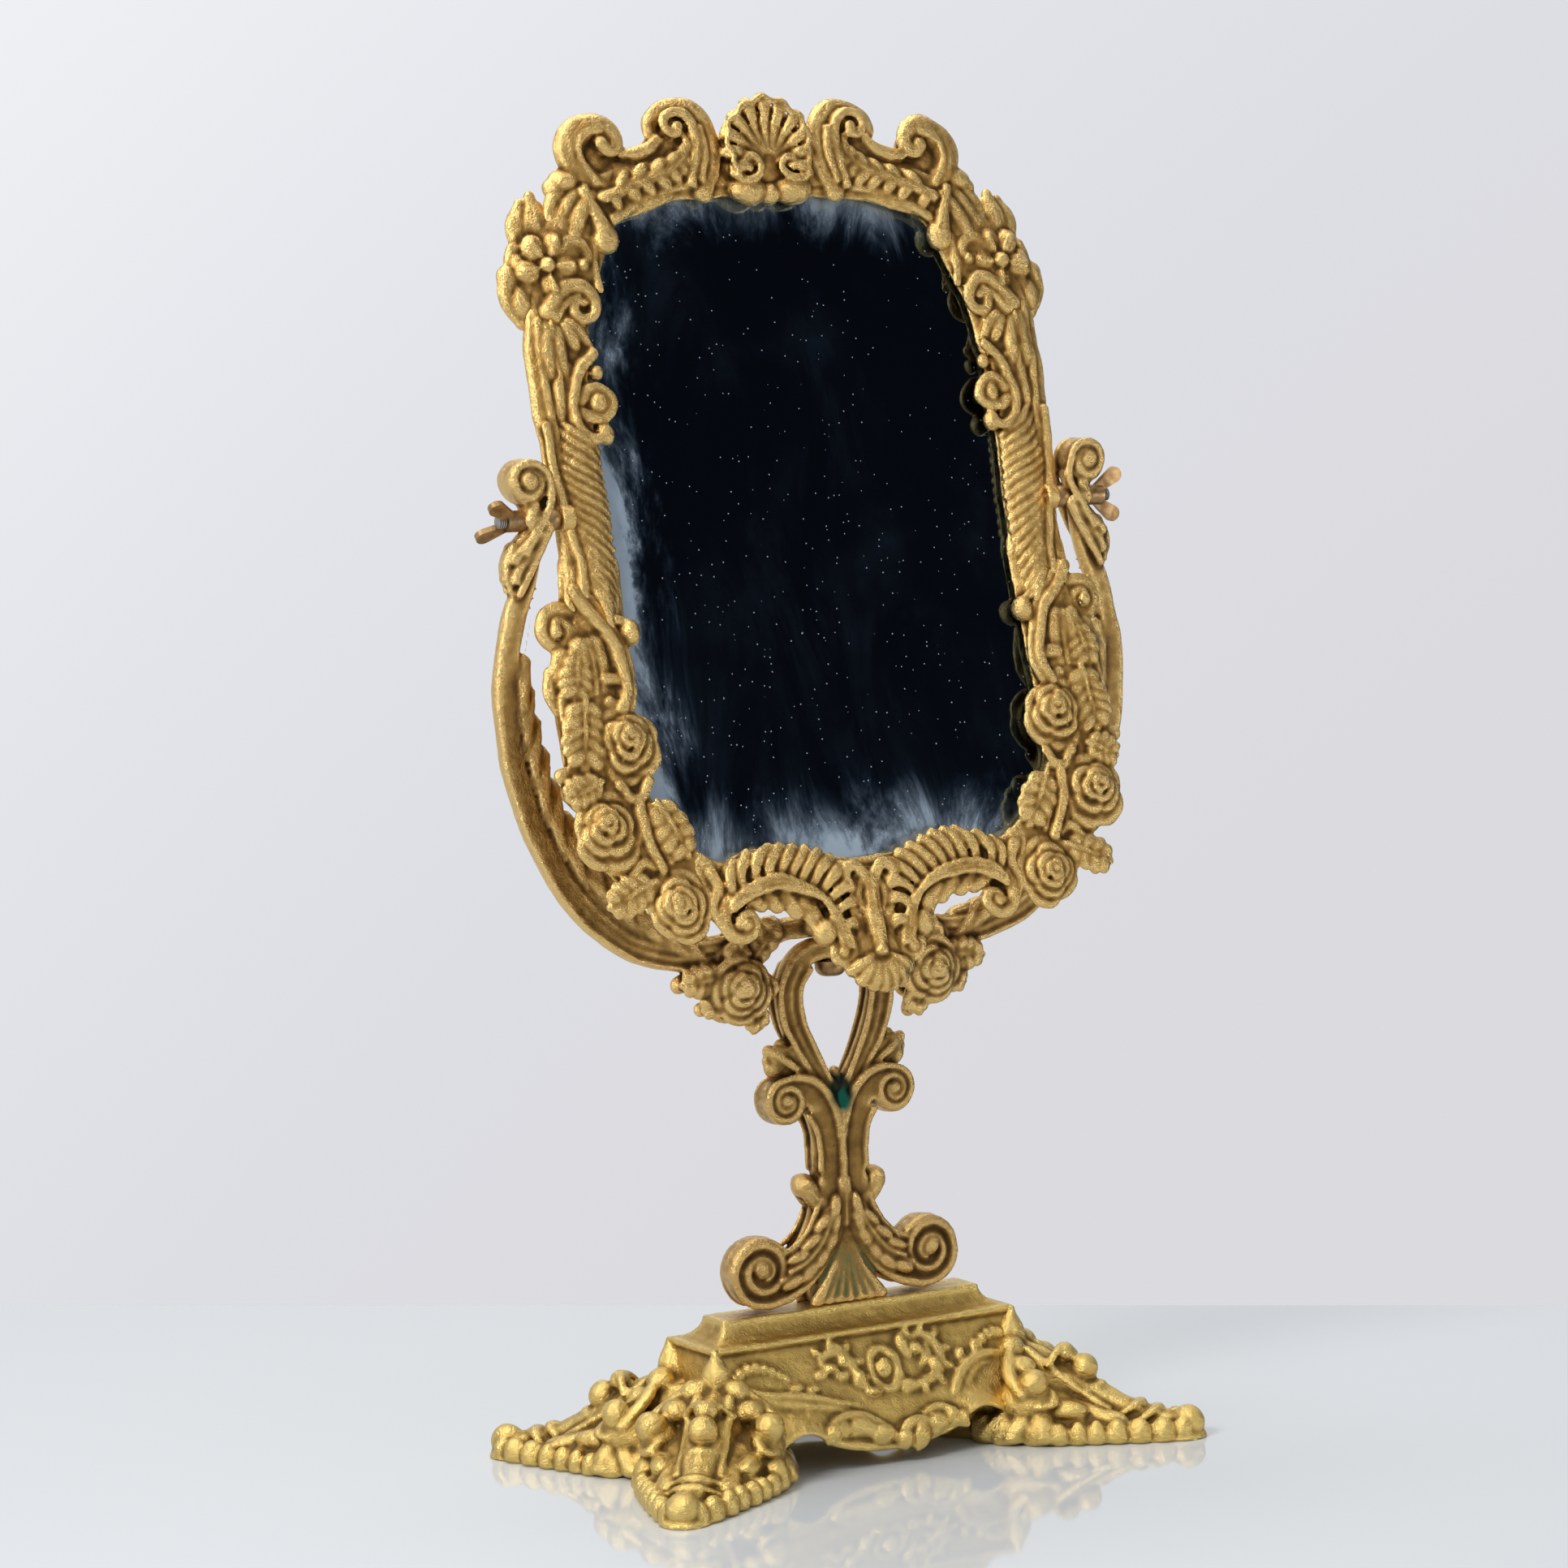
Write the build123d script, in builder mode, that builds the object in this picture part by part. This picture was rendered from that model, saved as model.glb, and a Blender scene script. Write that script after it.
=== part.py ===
from build123d import *
import os
from math import atan2, cos, degrees, hypot, pi, radians, sin

os.makedirs("parts", exist_ok=True)

# A cast brass dressing-table mirror: a carved frame that tilts between the arms of a
# scrolled stand. Millimetres. The table is z = 0, the front faces -Y, and the mirror
# tilts about an axis along X.

# Tilting axis, studs, beads and thumb nuts
pivot_height = 292.0
rest_lean = 11.8
stud_radius = 2.0
stud_root = 80.0
stud_tip = 108.5
running_gap = 0.05
thread_gap = 0.02
hole_gap = 0.2
frame_side = 88.4
lug_radius = 4.3
arm_inner_face = 93.3
arm_outer_face = 99.5
arm_boss_radius = 4.6
bead_radius = 3.5
nut_barrel_radius = 3.2
nut_barrel_length = 6.5
wing_reach = 11.4
wing_spread = 6.2
wing_lobe_radius = 2.5
wing_root_radius = 1.4
wing_root_reach = 4.8
wing_root_spread = 1.8
wing_thickness = 1.8
wing_turn_left = 139.0
wing_turn_right = 98.0

# Base
platform_length = 92.2
platform_depth = 13.8
platform_height = 46.4
platform_lip = 1.3
moulding_length = 109.4
moulding_depth = 28.6
moulding_height = 38.4
moulding_step = 1.2
skirt_length = 118.0
skirt_depth = 62.0
skirt_height = 9.0
base_wall = 3.6
toe_x = 90.0
toe_y = 57.0
toe_ball_radius = 5.6
toe_ball_height = 4.4
paw_root_inset = 6.0
paw_edge_height = 1.6
paw_leaf_root = 22.0
paw_leaf_tip = 37.5
paw_leaf_half_width = 5.0
paw_leaf_reach = 12.0
knuckle_share = 0.3
knuckle_offset = 19.0
knuckle_height = 19.0
knuckle_radius = 5.2
nose_share = 0.5
nose_height = 18.0
nose_radius = 3.8
toe_lobe_radius = 3.8
toe_lobe_height = 3.2
front_arch_offset = 31.0
front_arch_width = 15.0
front_arch_height = 15.0
side_arch_width = 20.0
side_arch_height = 13.0
apron_lobe_radius = 4.6
apron_lobes = [-16.0, -8.0, 0.0, 8.0, 16.0]

# Each row of a paw: share of its length from the corner, half width and crown height
paw_rows = [(-0.1, 15.0, 33.0), (0.2, 23.0, 29.5), (0.5, 19.0, 18.5), (0.8, 13.0, 11.5), (1.0, 7.0, 8.0)]

# Each pair of lobes on a paw's edge: share of its length, distance from its middle line
toe_lobes = [(0.3, 19.6), (0.44, 18.4), (0.57, 16.4), (0.69, 14.2), (0.81, 11.6), (0.92, 8.0)]

# Stem
stem_depth = 8.8
loop_depth = 7.2
edge_width = 1.3
edge_rise = 0.5
seat_height = 160.0
crown_thickness = 7.6
upper_eye = (19.3, 110.6)
upper_volute_radius = 7.8
lower_eye = (30.0, 59.0)
lower_volute_radius = 11.4
waist_bead = (12.4, 83.3)
waist_bead_radius = 3.9
fan_half_width = 12.5
fan_depth = 10.4
fan_ribs = [2.4, 6.4, 10.4]

# Screws that hold the stem on the base, and the bolt that holds the yoke on the stem
base_screws_x = [-7.0, 7.0]
base_screw_radius = 2.0
base_screw_grip = 8.0
screw_head_radius = 3.6
screw_head_height = 2.4
washer_radius = 5.0
washer_thickness = 1.0
yoke_bolt_radius = 2.5
yoke_bolt_grip = 6.0
bolt_head_radius = 4.8
bolt_head_rim = 1.0
bolt_head_height = 3.8
spot_face_gap = 0.4

# Yoke
yoke_depth = 8.0
web_depth = 5.2
hub_half_width = 9.0
hub_height = 8.0
hub_depth = 12.0
arm_volute_eye = (99.2, 303.4)
arm_volute_radius = 7.3
yoke_rose_place = (34.0, 147.0)
yoke_rose_radius = 9.0
rose_rise = 4.0

# Mirror stack, measured along the frame's own normal from the tilting axis
frame_front = 1.0
frame_back = -3.5
glass_thickness = 3.0
card_thickness = 1.0
board_thickness = 3.0
rebate_wall = 3.2
rebate_gap = 0.5
relief_low = 1.0
relief_mid = 2.0
relief_high = 3.2

# Mirror plate, across and up from the tilting axis
plate_half_width = 76.0
plate_top = 103.0
plate_bottom = -113.0
plate_top_corner = 30.0
plate_bottom_corner = 20.0

# Tabs that hold the back board
clip_length = 10.0
clip_width = 8.0
clip_thickness = 1.0
clip_overhang = 3.0
clip_screw_radius = 1.25
clip_screw_grip = 5.0
clip_head_radius = 2.3
clip_head_height = 1.3
clip_boss_radius = 3.4
clip_heights = [48.0, -52.0]

on_floor = (Align.CENTER, Align.CENTER, Align.MIN)
under_roof = (Align.CENTER, Align.CENTER, Align.MAX)

frame_plane = Plane(
    origin=(0, 0, pivot_height),
    x_dir=(1, 0, 0),
    z_dir=(0, -cos(radians(rest_lean)), sin(radians(rest_lean))),
)


def on_axis(distance):
    """Place on the tilting axis whose own z axis points outwards; a negative distance is the left side."""
    return Location((distance, 0, pivot_height), (0, 90 if distance > 0 else -90, 0))


def spiral(eye, start_radius, end_radius, start_angle, turns):
    """Points of a scroll that winds into its eye; negative turns wind clockwise."""
    count = max(4, int(abs(turns) * 8))
    points = []
    for step in range(count + 1):
        share = step / count
        radius = start_radius + (end_radius - start_radius) * share
        angle = radians(start_angle + 360 * turns * share)
        points.append((eye[0] + radius * cos(angle), eye[1] + radius * sin(angle)))
    return points


def ribbon(path, start_width, end_width, steps=8):
    """Band that follows a smooth path and narrows evenly to its end."""
    spine = Edge.make_spline([Vector(x, y) for x, y in path])
    left_side = []
    right_side = []
    for step in range(steps + 1):
        share = step / steps
        half = (start_width + (end_width - start_width) * share) / 2
        point = spine @ share
        along = spine % share
        left_side.append((point.X - along.Y * half, point.Y + along.X * half))
        right_side.append((point.X + along.Y * half, point.Y - along.X * half))
    right_side.reverse()
    with BuildSketch(Plane.XY) as band:
        with BuildLine():
            Spline(*left_side)
            Line(left_side[-1], right_side[0])
            Spline(*right_side)
            Line(right_side[-1], left_side[0])
        make_face()
    return band.sketch


def leaf(root, tip, half_width):
    """Pointed leaf from its root to its tip."""
    length = hypot(tip[0] - root[0], tip[1] - root[1])
    along = ((tip[0] - root[0]) / length, (tip[1] - root[1]) / length)
    middle = (root[0] + along[0] * length * 0.45, root[1] + along[1] * length * 0.45)
    side = (-along[1] * half_width, along[0] * half_width)
    with BuildSketch(Plane.XY) as blade:
        with BuildLine():
            ThreePointArc(root, (middle[0] + side[0], middle[1] + side[1]), tip)
            ThreePointArc(tip, (middle[0] - side[0], middle[1] - side[1]), root)
        make_face()
    return blade.sketch


def traced(points, width=edge_width):
    """Raised line through a few points."""
    with BuildSketch(Plane.XY) as strip:
        with BuildLine():
            Spline(*points)
        trace(line_width=width)
    return strip.sketch


def discs(places):
    """Round lobes, each given by its centre and radius."""
    with BuildSketch(Plane.XY) as lobes:
        for x, y, radius in places:
            with Locations((x, y)):
                Circle(radius)
    return lobes.sketch


# Base: hollow casting with a coved platform, four leaf paws, arches and aprons.
# The body is one outline seen from the front cut by another seen from the side.
corner = (moulding_length / 2 - paw_root_inset, moulding_depth / 2 - paw_root_inset)
paw_length = hypot(toe_x - corner[0], toe_y - corner[1])
paw_turn = degrees(atan2(toe_y - corner[1], toe_x - corner[0]))
cove_foot = moulding_height + moulding_step
skirt_top = moulding_height - moulding_step


def half_outline(platform, moulding, lip):
    """Right half of the base's outline: platform edge, cove, moulding and flaring skirt."""
    neck = moulding - moulding_step
    with BuildSketch(Plane.XY) as half:
        with BuildLine():
            Polyline((0, skirt_height), (0, platform_height), (platform, platform_height))
            Line((platform, platform_height), (platform, platform_height - platform_lip))
            ThreePointArc(
                (platform, platform_height - platform_lip),
                (platform + (moulding - platform) * 0.3, cove_foot + (platform_height - cove_foot) * 0.22),
                (moulding, cove_foot),
            )
            Polyline((moulding, cove_foot), (moulding, skirt_top), (neck, skirt_top))
            ThreePointArc(
                (neck, skirt_top),
                (neck + (lip - neck) * 0.3, skirt_height + (skirt_top - skirt_height) * 0.4),
                (lip, skirt_height),
            )
            Line((lip, skirt_height), (0, skirt_height))
        make_face()
    return half.sketch


def half_hollow(moulding, lip):
    """Right half of the hollow under the platform, one wall inside the skirt."""
    neck = moulding - moulding_step
    with BuildSketch(Plane.XY) as half:
        with BuildLine():
            Polyline((0, -base_wall), (0, moulding_height), (neck - base_wall, moulding_height))
            ThreePointArc(
                (neck - base_wall, moulding_height),
                (neck - base_wall + (lip - neck) * 0.3, skirt_height + (skirt_top - skirt_height) * 0.4),
                (lip - base_wall, skirt_height - base_wall),
            )
            Polyline((lip - base_wall, skirt_height - base_wall), (lip - base_wall, -base_wall), (0, -base_wall))
        make_face()
    return half.sketch


def paw_plane(share):
    """Upright plane across the paw, which is drawn along the x axis; its own y axis is up."""
    return Plane(origin=(paw_length * share, 0, 0), x_dir=(0, 1, 0), z_dir=(1, 0, 0))


def paw_sections():
    """Arched sections of a paw, from its root to its toe."""
    sections = []
    for share, half, crown in paw_rows:
        shoulder = paw_edge_height + (crown - paw_edge_height) * 0.66
        with BuildSketch(paw_plane(share)) as section:
            with BuildLine():
                Spline(
                    (-half, paw_edge_height),
                    (-half * 0.72, shoulder),
                    (0, crown),
                    (half * 0.72, shoulder),
                    (half, paw_edge_height),
                )
                Line((half, paw_edge_height), (-half, paw_edge_height))
            make_face()
        sections.append(section.sketch)
    return sections


with BuildPart() as paw:
    loft(paw_sections())
    with Locations((paw_length, 0, toe_ball_height)):
        Sphere(toe_ball_radius)
    with BuildSketch(paw_plane(0)):
        add(leaf((0, paw_leaf_root), (0, paw_leaf_tip), paw_leaf_half_width))
    extrude(amount=paw_leaf_reach)
    with Locations(
        (paw_length * knuckle_share, knuckle_offset, knuckle_height),
        (paw_length * knuckle_share, -knuckle_offset, knuckle_height),
    ):
        Sphere(knuckle_radius)
    with Locations((paw_length * nose_share, 0, nose_height)):
        Sphere(nose_radius)
    for side in (-1, 1):
        with Locations(*[(paw_length * share, side * offset, toe_lobe_height) for share, offset in toe_lobes]):
            Sphere(toe_lobe_radius)
    Box(3 * toe_x, 3 * toe_x, toe_ball_radius, align=under_roof, mode=Mode.SUBTRACT)

with BuildPart() as base_hollow:
    with BuildSketch(Plane.XZ):
        add(half_hollow(moulding_length / 2, skirt_length / 2))
        mirror(about=Plane.YZ)
    extrude(amount=skirt_depth, both=True)
    with BuildSketch(Plane.YZ):
        add(half_hollow(moulding_depth / 2, skirt_depth / 2))
        mirror(about=Plane.YZ)
    extrude(amount=skirt_length, both=True, mode=Mode.INTERSECT)

with BuildPart() as base_casting:
    with BuildSketch(Plane.XZ):
        add(half_outline(platform_length / 2, moulding_length / 2, skirt_length / 2))
        mirror(about=Plane.YZ)
    extrude(amount=skirt_depth, both=True)
    with BuildSketch(Plane.YZ):
        add(half_outline(platform_depth / 2, moulding_depth / 2, skirt_depth / 2))
        mirror(about=Plane.YZ)
    extrude(amount=skirt_length, both=True, mode=Mode.INTERSECT)
    with Locations(
        Location((corner[0], corner[1], 0), (0, 0, paw_turn)),
        Location((-corner[0], corner[1], 0), (0, 0, 180 - paw_turn)),
        Location((-corner[0], -corner[1], 0), (0, 0, 180 + paw_turn)),
        Location((corner[0], -corner[1], 0), (0, 0, -paw_turn)),
    ):
        add(paw.part)
    add(base_hollow.part, mode=Mode.SUBTRACT)
    for side in (-1, 1):
        with BuildSketch(Plane.XZ.offset(side * (skirt_depth / 2 - base_wall))):
            with Locations(*[(x, skirt_height) for x in apron_lobes]):
                Circle(apron_lobe_radius)
        extrude(amount=side * (base_wall + edge_rise))
    with BuildSketch(Plane.XZ):
        with Locations((-front_arch_offset, 0), (front_arch_offset, 0)):
            Ellipse(front_arch_width / 2, front_arch_height)
    extrude(amount=skirt_depth, both=True, mode=Mode.SUBTRACT)
    with BuildSketch(Plane.YZ):
        Ellipse(side_arch_width / 2, side_arch_height)
    extrude(amount=skirt_length, both=True, mode=Mode.SUBTRACT)
    with Locations(*[(x, 0, moulding_height) for x in base_screws_x]):
        Cylinder(base_screw_radius + hole_gap, 2 * platform_height, mode=Mode.SUBTRACT)
base_casting.part.label = "base_casting"
export_step(base_casting.part, "parts/base_casting.step")

washer_bottom = moulding_height - washer_thickness

with BuildPart() as base_washers:
    with Locations(*[(x, 0, washer_bottom) for x in base_screws_x]):
        Cylinder(washer_radius, washer_thickness, align=on_floor)
        Cylinder(base_screw_radius + hole_gap, washer_thickness, align=on_floor, mode=Mode.SUBTRACT)
base_washers.part.label = "base_washers"
export_step(base_washers.part, "parts/base_washers.step")

with BuildPart() as base_screws:
    with Locations(*[(x, 0, washer_bottom) for x in base_screws_x]):
        Cylinder(screw_head_radius, screw_head_height, align=under_roof)
        Cylinder(base_screw_radius, platform_height - washer_bottom + base_screw_grip, align=on_floor)
base_screws.part.label = "base_screws"
export_step(base_screws.part, "parts/base_screws.step")

# Stem: two pairs of C scrolls back to back, an open loop above and a fluted fan below.
# The right half is drawn and mirrored.
crown_face = seat_height - crown_thickness
upper_band = ribbon([(4.4, 84), (4.6, 93), (5.4, 102), (8.5, 109.5), (14, 113.8), (19.3, 114.6)], 8.8, 7.8)
lower_band = ribbon([(4.4, 88), (5.6, 78), (8.5, 69), (14.5, 60.5), (22, 55), (30, 53)], 8.8, 11.0)
loop_path = [(1.2, 104), (5.8, 115), (11.8, 126), (15.6, 137), (16, 146), (12, 153.4), (5, 156.3), (0, 156.4)]
upper_edge = [(1.0, 92), (1.1, 101), (2.4, 107.5), (6, 113), (12.5, 117.2)]
lower_edge = [(1.0, 84), (1.6, 74), (4.6, 65), (10, 57.4), (17, 51.4), (24, 48.6)]
waist_edge = [(8.1, 88), (8.4, 95), (9.6, 101.5), (12, 105.2)]
shin_edge = [(8.6, 80), (10.6, 74.5), (14, 69), (19, 65), (24, 63.2)]
loop_outer_edge = [(11, 120), (15.2, 127), (19.3, 136), (19.8, 145), (16.5, 152.5)]
loop_inner_edge = [(3, 116), (8, 126), (11.8, 136.5), (12, 144.5), (9, 150.5)]

with BuildPart() as stem_casting:
    with BuildSketch(Plane.XZ):
        add([upper_band, lower_band])
        add(discs([(*upper_eye, upper_volute_radius), (*lower_eye, lower_volute_radius)]))
        with BuildLine():
            Polyline(
                (0, 100), (0, platform_height), (fan_half_width, platform_height), (fan_half_width, 52), (0, 100)
            )
        make_face()
    extrude(amount=stem_depth / 2, both=True)
    with BuildSketch(Plane.XZ):
        add(ribbon(loop_path, 7.0, crown_thickness))
        add([leaf((12, 118), (24.5, 125.5), 3), leaf((12, 118), (19.5, 128), 2.6)])
    extrude(amount=loop_depth / 2, both=True)
    with BuildSketch(Plane.XZ):
        add(traced(upper_edge + spiral(upper_eye, upper_volute_radius - edge_width / 2, 1.8, 90, -1.6)))
        add(traced(lower_edge + spiral(lower_eye, lower_volute_radius - edge_width / 2, 2.6, -90, 1.6)))
        add([traced(waist_edge), traced(shin_edge)])
    extrude(amount=stem_depth / 2 + edge_rise, both=True)
    with BuildSketch(Plane.XZ):
        add([traced(loop_outer_edge), traced(loop_inner_edge)])
    extrude(amount=loop_depth / 2 + edge_rise, both=True)
    with Locations((waist_bead[0], 0, waist_bead[1])):
        Sphere(waist_bead_radius)
    with BuildSketch(Plane.XZ):
        for foot in fan_ribs:
            add(traced([(foot * 0.1 + 0.8, 66), (foot * 0.5, 56), (foot, platform_height + 0.3)]))
    extrude(amount=fan_depth / 2, both=True)
    mirror(about=Plane.YZ)
    with Locations((0, 0, seat_height)):
        Box(60, 60, 20, align=on_floor, mode=Mode.SUBTRACT)
    with Locations((0, 0, platform_height)):
        Box(60, 60, 20, align=under_roof, mode=Mode.SUBTRACT)
    with Locations((0, 0, crown_face)):
        Cylinder(washer_radius + spot_face_gap, 5, align=under_roof, mode=Mode.SUBTRACT)
    with Locations((0, 0, seat_height)):
        Cylinder(yoke_bolt_radius + hole_gap, 3 * crown_thickness, mode=Mode.SUBTRACT)
    with Locations(*[(x, 0, platform_height) for x in base_screws_x]):
        Cylinder(base_screw_radius + thread_gap, base_screw_grip + 1, align=on_floor, mode=Mode.SUBTRACT)
stem_casting.part.label = "stem_casting"
export_step(stem_casting.part, "parts/stem_casting.step")

# Bolt with a domed head that shows inside the loop, and its washer
head_top = crown_face - washer_thickness

with BuildPart() as yoke_washer:
    with Locations((0, 0, head_top)):
        Cylinder(washer_radius, washer_thickness, align=on_floor)
        Cylinder(yoke_bolt_radius + hole_gap, washer_thickness, align=on_floor, mode=Mode.SUBTRACT)
yoke_washer.part.label = "yoke_washer"
export_step(yoke_washer.part, "parts/yoke_washer.step")

with BuildPart() as yoke_bolt:
    with Locations((0, 0, head_top)):
        Cylinder(bolt_head_radius, bolt_head_height, align=under_roof)
    fillet(yoke_bolt.faces().sort_by(Axis.Z)[0].edges(), bolt_head_height - bolt_head_rim)
    with Locations((0, 0, head_top)):
        Cylinder(yoke_bolt_radius, seat_height + yoke_bolt_grip - head_top, align=on_floor)
yoke_bolt.part.label = "yoke_bolt"
export_step(yoke_bolt.part, "parts/yoke_bolt.step")

# Yoke: two swept arms with a leafy inner web, roses at the joint and a scroll at each top.
# The right half is drawn and mirrored.
arm_path = [(6, 165), (22, 161.8), (40, 157.8), (57, 158.6), (76, 167), (91.5, 184), (102.5, 207)]
arm_path += [(107.8, 233), (105.2, 259), (98.4, 277), (96.3, 290)]
arm_neck = [(96.3, 286), (94.6, 294), (95, arm_volute_eye[1])]
arm_rim = [(40, 154.6), (58, 155.4), (77.5, 164.4), (94, 182.6), (105, 206.5), (110, 233), (107.2, 259), (100.6, 276)]
web_path = [(52, 161), (68, 169), (84, 183), (95, 201), (101, 221), (104, 240)]
web_lobes = [(60, 167, 3.5), (69, 173.5, 4), (77.5, 181, 4.6), (85.5, 190, 4.6), (92.5, 200, 4.2)]
web_lobes += [(96.5, 210.5, 3.8), (99.4, 221, 3.6), (101.4, 231, 3.2), (103, 240, 2.8)]


def rose(place, radius, rise):
    """Raised rings of an open rose: an outer row of petals, a middle row and a heart."""
    petals = []
    for step in range(5):
        angle = 2 * pi * step / 5
        reach = radius * 0.6
        petals.append((place[0] + reach * cos(angle), place[1] + reach * sin(angle), radius * 0.38))
    return [
        (discs(petals), rise * 0.5),
        (discs([(*place, radius * 0.62)]) - discs([(*place, radius * 0.42)]), rise * 0.8),
        (discs([(*place, radius * 0.26)]), rise),
    ]


with BuildPart() as yoke_casting:
    with BuildSketch(Plane.XZ):
        add([ribbon(arm_path, 8.4, 5.6, 20), ribbon(arm_neck, 5.6, 6.0, 4)])
        add(discs([(*arm_volute_eye, arm_volute_radius), (*yoke_rose_place, yoke_rose_radius)]))
        with Locations((0, seat_height)):
            Rectangle(2 * hub_half_width, hub_height, align=(Align.CENTER, Align.MIN))
        add([leaf((34, 152), (54, 149.5), 4.2), leaf((36, 144), (46, 141), 3), leaf((33, 144), (27, 134), 3.6)])
        add([leaf((40, 156), (30, 148), 5), leaf((97.5, 290), (104.4, 278), 3), leaf((30, 158), (19, 167.5), 4)])
    extrude(amount=yoke_depth / 2, both=True)
    with BuildSketch(Plane.XZ):
        add([ribbon(web_path, 10, 6), discs(web_lobes)])
    extrude(amount=web_depth / 2, both=True)
    with BuildSketch(Plane.XZ):
        add(traced([(96.6, 290), (93.2, 296)] + spiral(arm_volute_eye, arm_volute_radius - 0.7, 1.7, 180, -1.6)))
        add(traced(arm_rim))
    extrude(amount=yoke_depth / 2 + edge_rise, both=True)
    for shape, rise in rose(yoke_rose_place, yoke_rose_radius, rose_rise):
        with BuildSketch(Plane.XZ.offset(yoke_depth / 2)):
            add(shape)
        extrude(amount=rise)
    with Locations(Location((arm_inner_face, 0, pivot_height), (0, 90, 0))):
        Cylinder(arm_boss_radius, arm_outer_face - arm_inner_face, align=on_floor)
    mirror(about=Plane.YZ)
    with Locations((0, 0, seat_height)):
        Cylinder(hub_depth / 2, hub_height, align=on_floor)
        Cylinder(yoke_bolt_radius + thread_gap, yoke_bolt_grip + 1, align=on_floor, mode=Mode.SUBTRACT)
    with Locations(on_axis(arm_inner_face), on_axis(-arm_inner_face)):
        Cylinder(bead_radius + spot_face_gap, bead_radius, align=under_roof, mode=Mode.SUBTRACT)
    with Locations(on_axis(arm_outer_face), on_axis(-arm_outer_face)):
        Cylinder(nut_barrel_radius + spot_face_gap, nut_barrel_length, align=on_floor, mode=Mode.SUBTRACT)
        Cylinder(stud_radius + running_gap, nut_barrel_length * 2, mode=Mode.SUBTRACT)
yoke_casting.part.label = "yoke_casting"
export_step(yoke_casting.part, "parts/yoke_casting.step")

# Frame casting, drawn in its own leaning plane across and up from the tilting axis.
# The right half is drawn and mirrored, then the shells on the middle line are added.
frame_edge = [(0, 108), (24, 110), (44, 109), (62, 105), (72.5, 97), (80, 85), (87.5, 70), (90.8, 52), (90.3, 30)]
frame_edge += [(88, 8), (87.6, -24), (91, -36), (97, -46), (98.6, -60), (97, -76), (93, -92), (87, -106)]
frame_edge += [(76, -116), (60, -121), (46, -120), (34, -118), (20, -116), (10, -118), (0, -119)]
aperture_edge = [(0, -109.5), (13, -108.5), (30, -101.5), (47, -104), (60, -97), (69.5, -84), (71.5, -58)]
aperture_edge += [(71.5, -28), (71, 0), (70.5, 20), (69.5, 50), (67.5, 70), (60, 84), (46, 93.5), (25, 98.5), (0, 98)]
outer_scroll = (55.0, 113.8, 9.0)
inner_scroll = (29.0, 120.3, 8.0)
bead_scroll = (69.5, 103.5, 4.8)
middle_scroll = (71.0, 65.4, 5.6)
side_scroll = (94.2, -32.6, 6.2)
arch_scroll = (44.5, -125.5, 5.8)
frame_discs = [outer_scroll, inner_scroll, bead_scroll, middle_scroll, side_scroll, arch_scroll]
frame_discs += [(8, 99.5, 5.0), (58.5, 85, 4.5), (68.5, 44, 4.6), (68.5, 34, 4.2)]
frame_discs += [(17.5, -130, 4.5), (12, -136.3, 4.2)]
crest_scroll_path = [(28, 125), (20.5, 121), (17, 114), (16, 106)]
arch_path = [(44.5, -121), (38, -116.5), (30, -116), (21, -119), (14.5, -126), (11.5, -134)]
frame_leaves = [((82, 82), (81.8, 101.5), 6.8), ((84, 74), (92.5, 62), 4.0), ((92, -64), (100, -78), 4.0)]
frame_leaves += [((74, -106), (90, -118), 6.0), ((72, -104), (58, -90), 6.0)]
flower_place = (81.0, 77.0)
flower_ring = 7.0
petal_radius = 3.8
frame_roses = [(75.4, -65.4, 9.5), (87.5, -91.7, 8.5), (66.9, -118.0, 8.8)]
plume = ((62, 92), (21, 111), 7.0)
stile_path = [(80, 56), (80.6, 30), (79.6, 0), (78.6, -26)]
barb_heights = [-18, -6, 6, 18, 30, 42]
shell_hinge = (0, 110.5)
shell_place = (0, 116.0, 14.5)
shell_rib_reach = 17.5
shell_rib_turns = [12, 34, 56, 78]
low_shell_hinge = (0, -134)
low_shell_place = (0, -140.0, 9.0)
low_shell_rib_reach = 13.0
low_shell_rib_turns = [-20, -55]
middle_rod_width = 9.0
rib_half_width = 1.6


def flower(place, ring, radius):
    """Six round petals and a bead."""
    petals = [(place[0], place[1], radius)]
    for step in range(6):
        angle = 2 * pi * step / 6
        petals.append((place[0] + ring * cos(angle), place[1] + ring * sin(angle), radius))
    return discs(petals)


def rib(hinge, reach, turn):
    """Narrow leaf from a shell's hinge towards its rim."""
    angle = radians(turn)
    return leaf(hinge, (hinge[0] + reach * cos(angle), hinge[1] + reach * sin(angle)), rib_half_width)


def scroll_line(place, start_angle, turns):
    """Raised line that winds into a round lobe."""
    return traced(spiral(place[:2], place[2] - edge_width, 1.6, start_angle, turns))


def plate_outline(grow):
    """Arched outline of the mirror plate, larger by a distance all round."""
    with BuildSketch(Plane.XY) as outline:
        with Locations((0, (plate_top + plate_bottom) / 2)):
            Rectangle(2 * (plate_half_width + grow), plate_top - plate_bottom + 2 * grow)
        fillet(outline.vertices().group_by(Axis.Y)[-1], plate_top_corner + grow)
        fillet(outline.vertices().group_by(Axis.Y)[0], plate_bottom_corner + grow)
    return outline.sketch


stack_thickness = glass_thickness + card_thickness + board_thickness
stack_back = frame_back - stack_thickness
boss_offset = clip_boss_radius + rebate_gap
boss_places = [(0, plate_top + boss_offset), (0, plate_bottom - boss_offset)]
for height in clip_heights:
    boss_places += [(plate_half_width + boss_offset, height), (-plate_half_width - boss_offset, height)]

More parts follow.
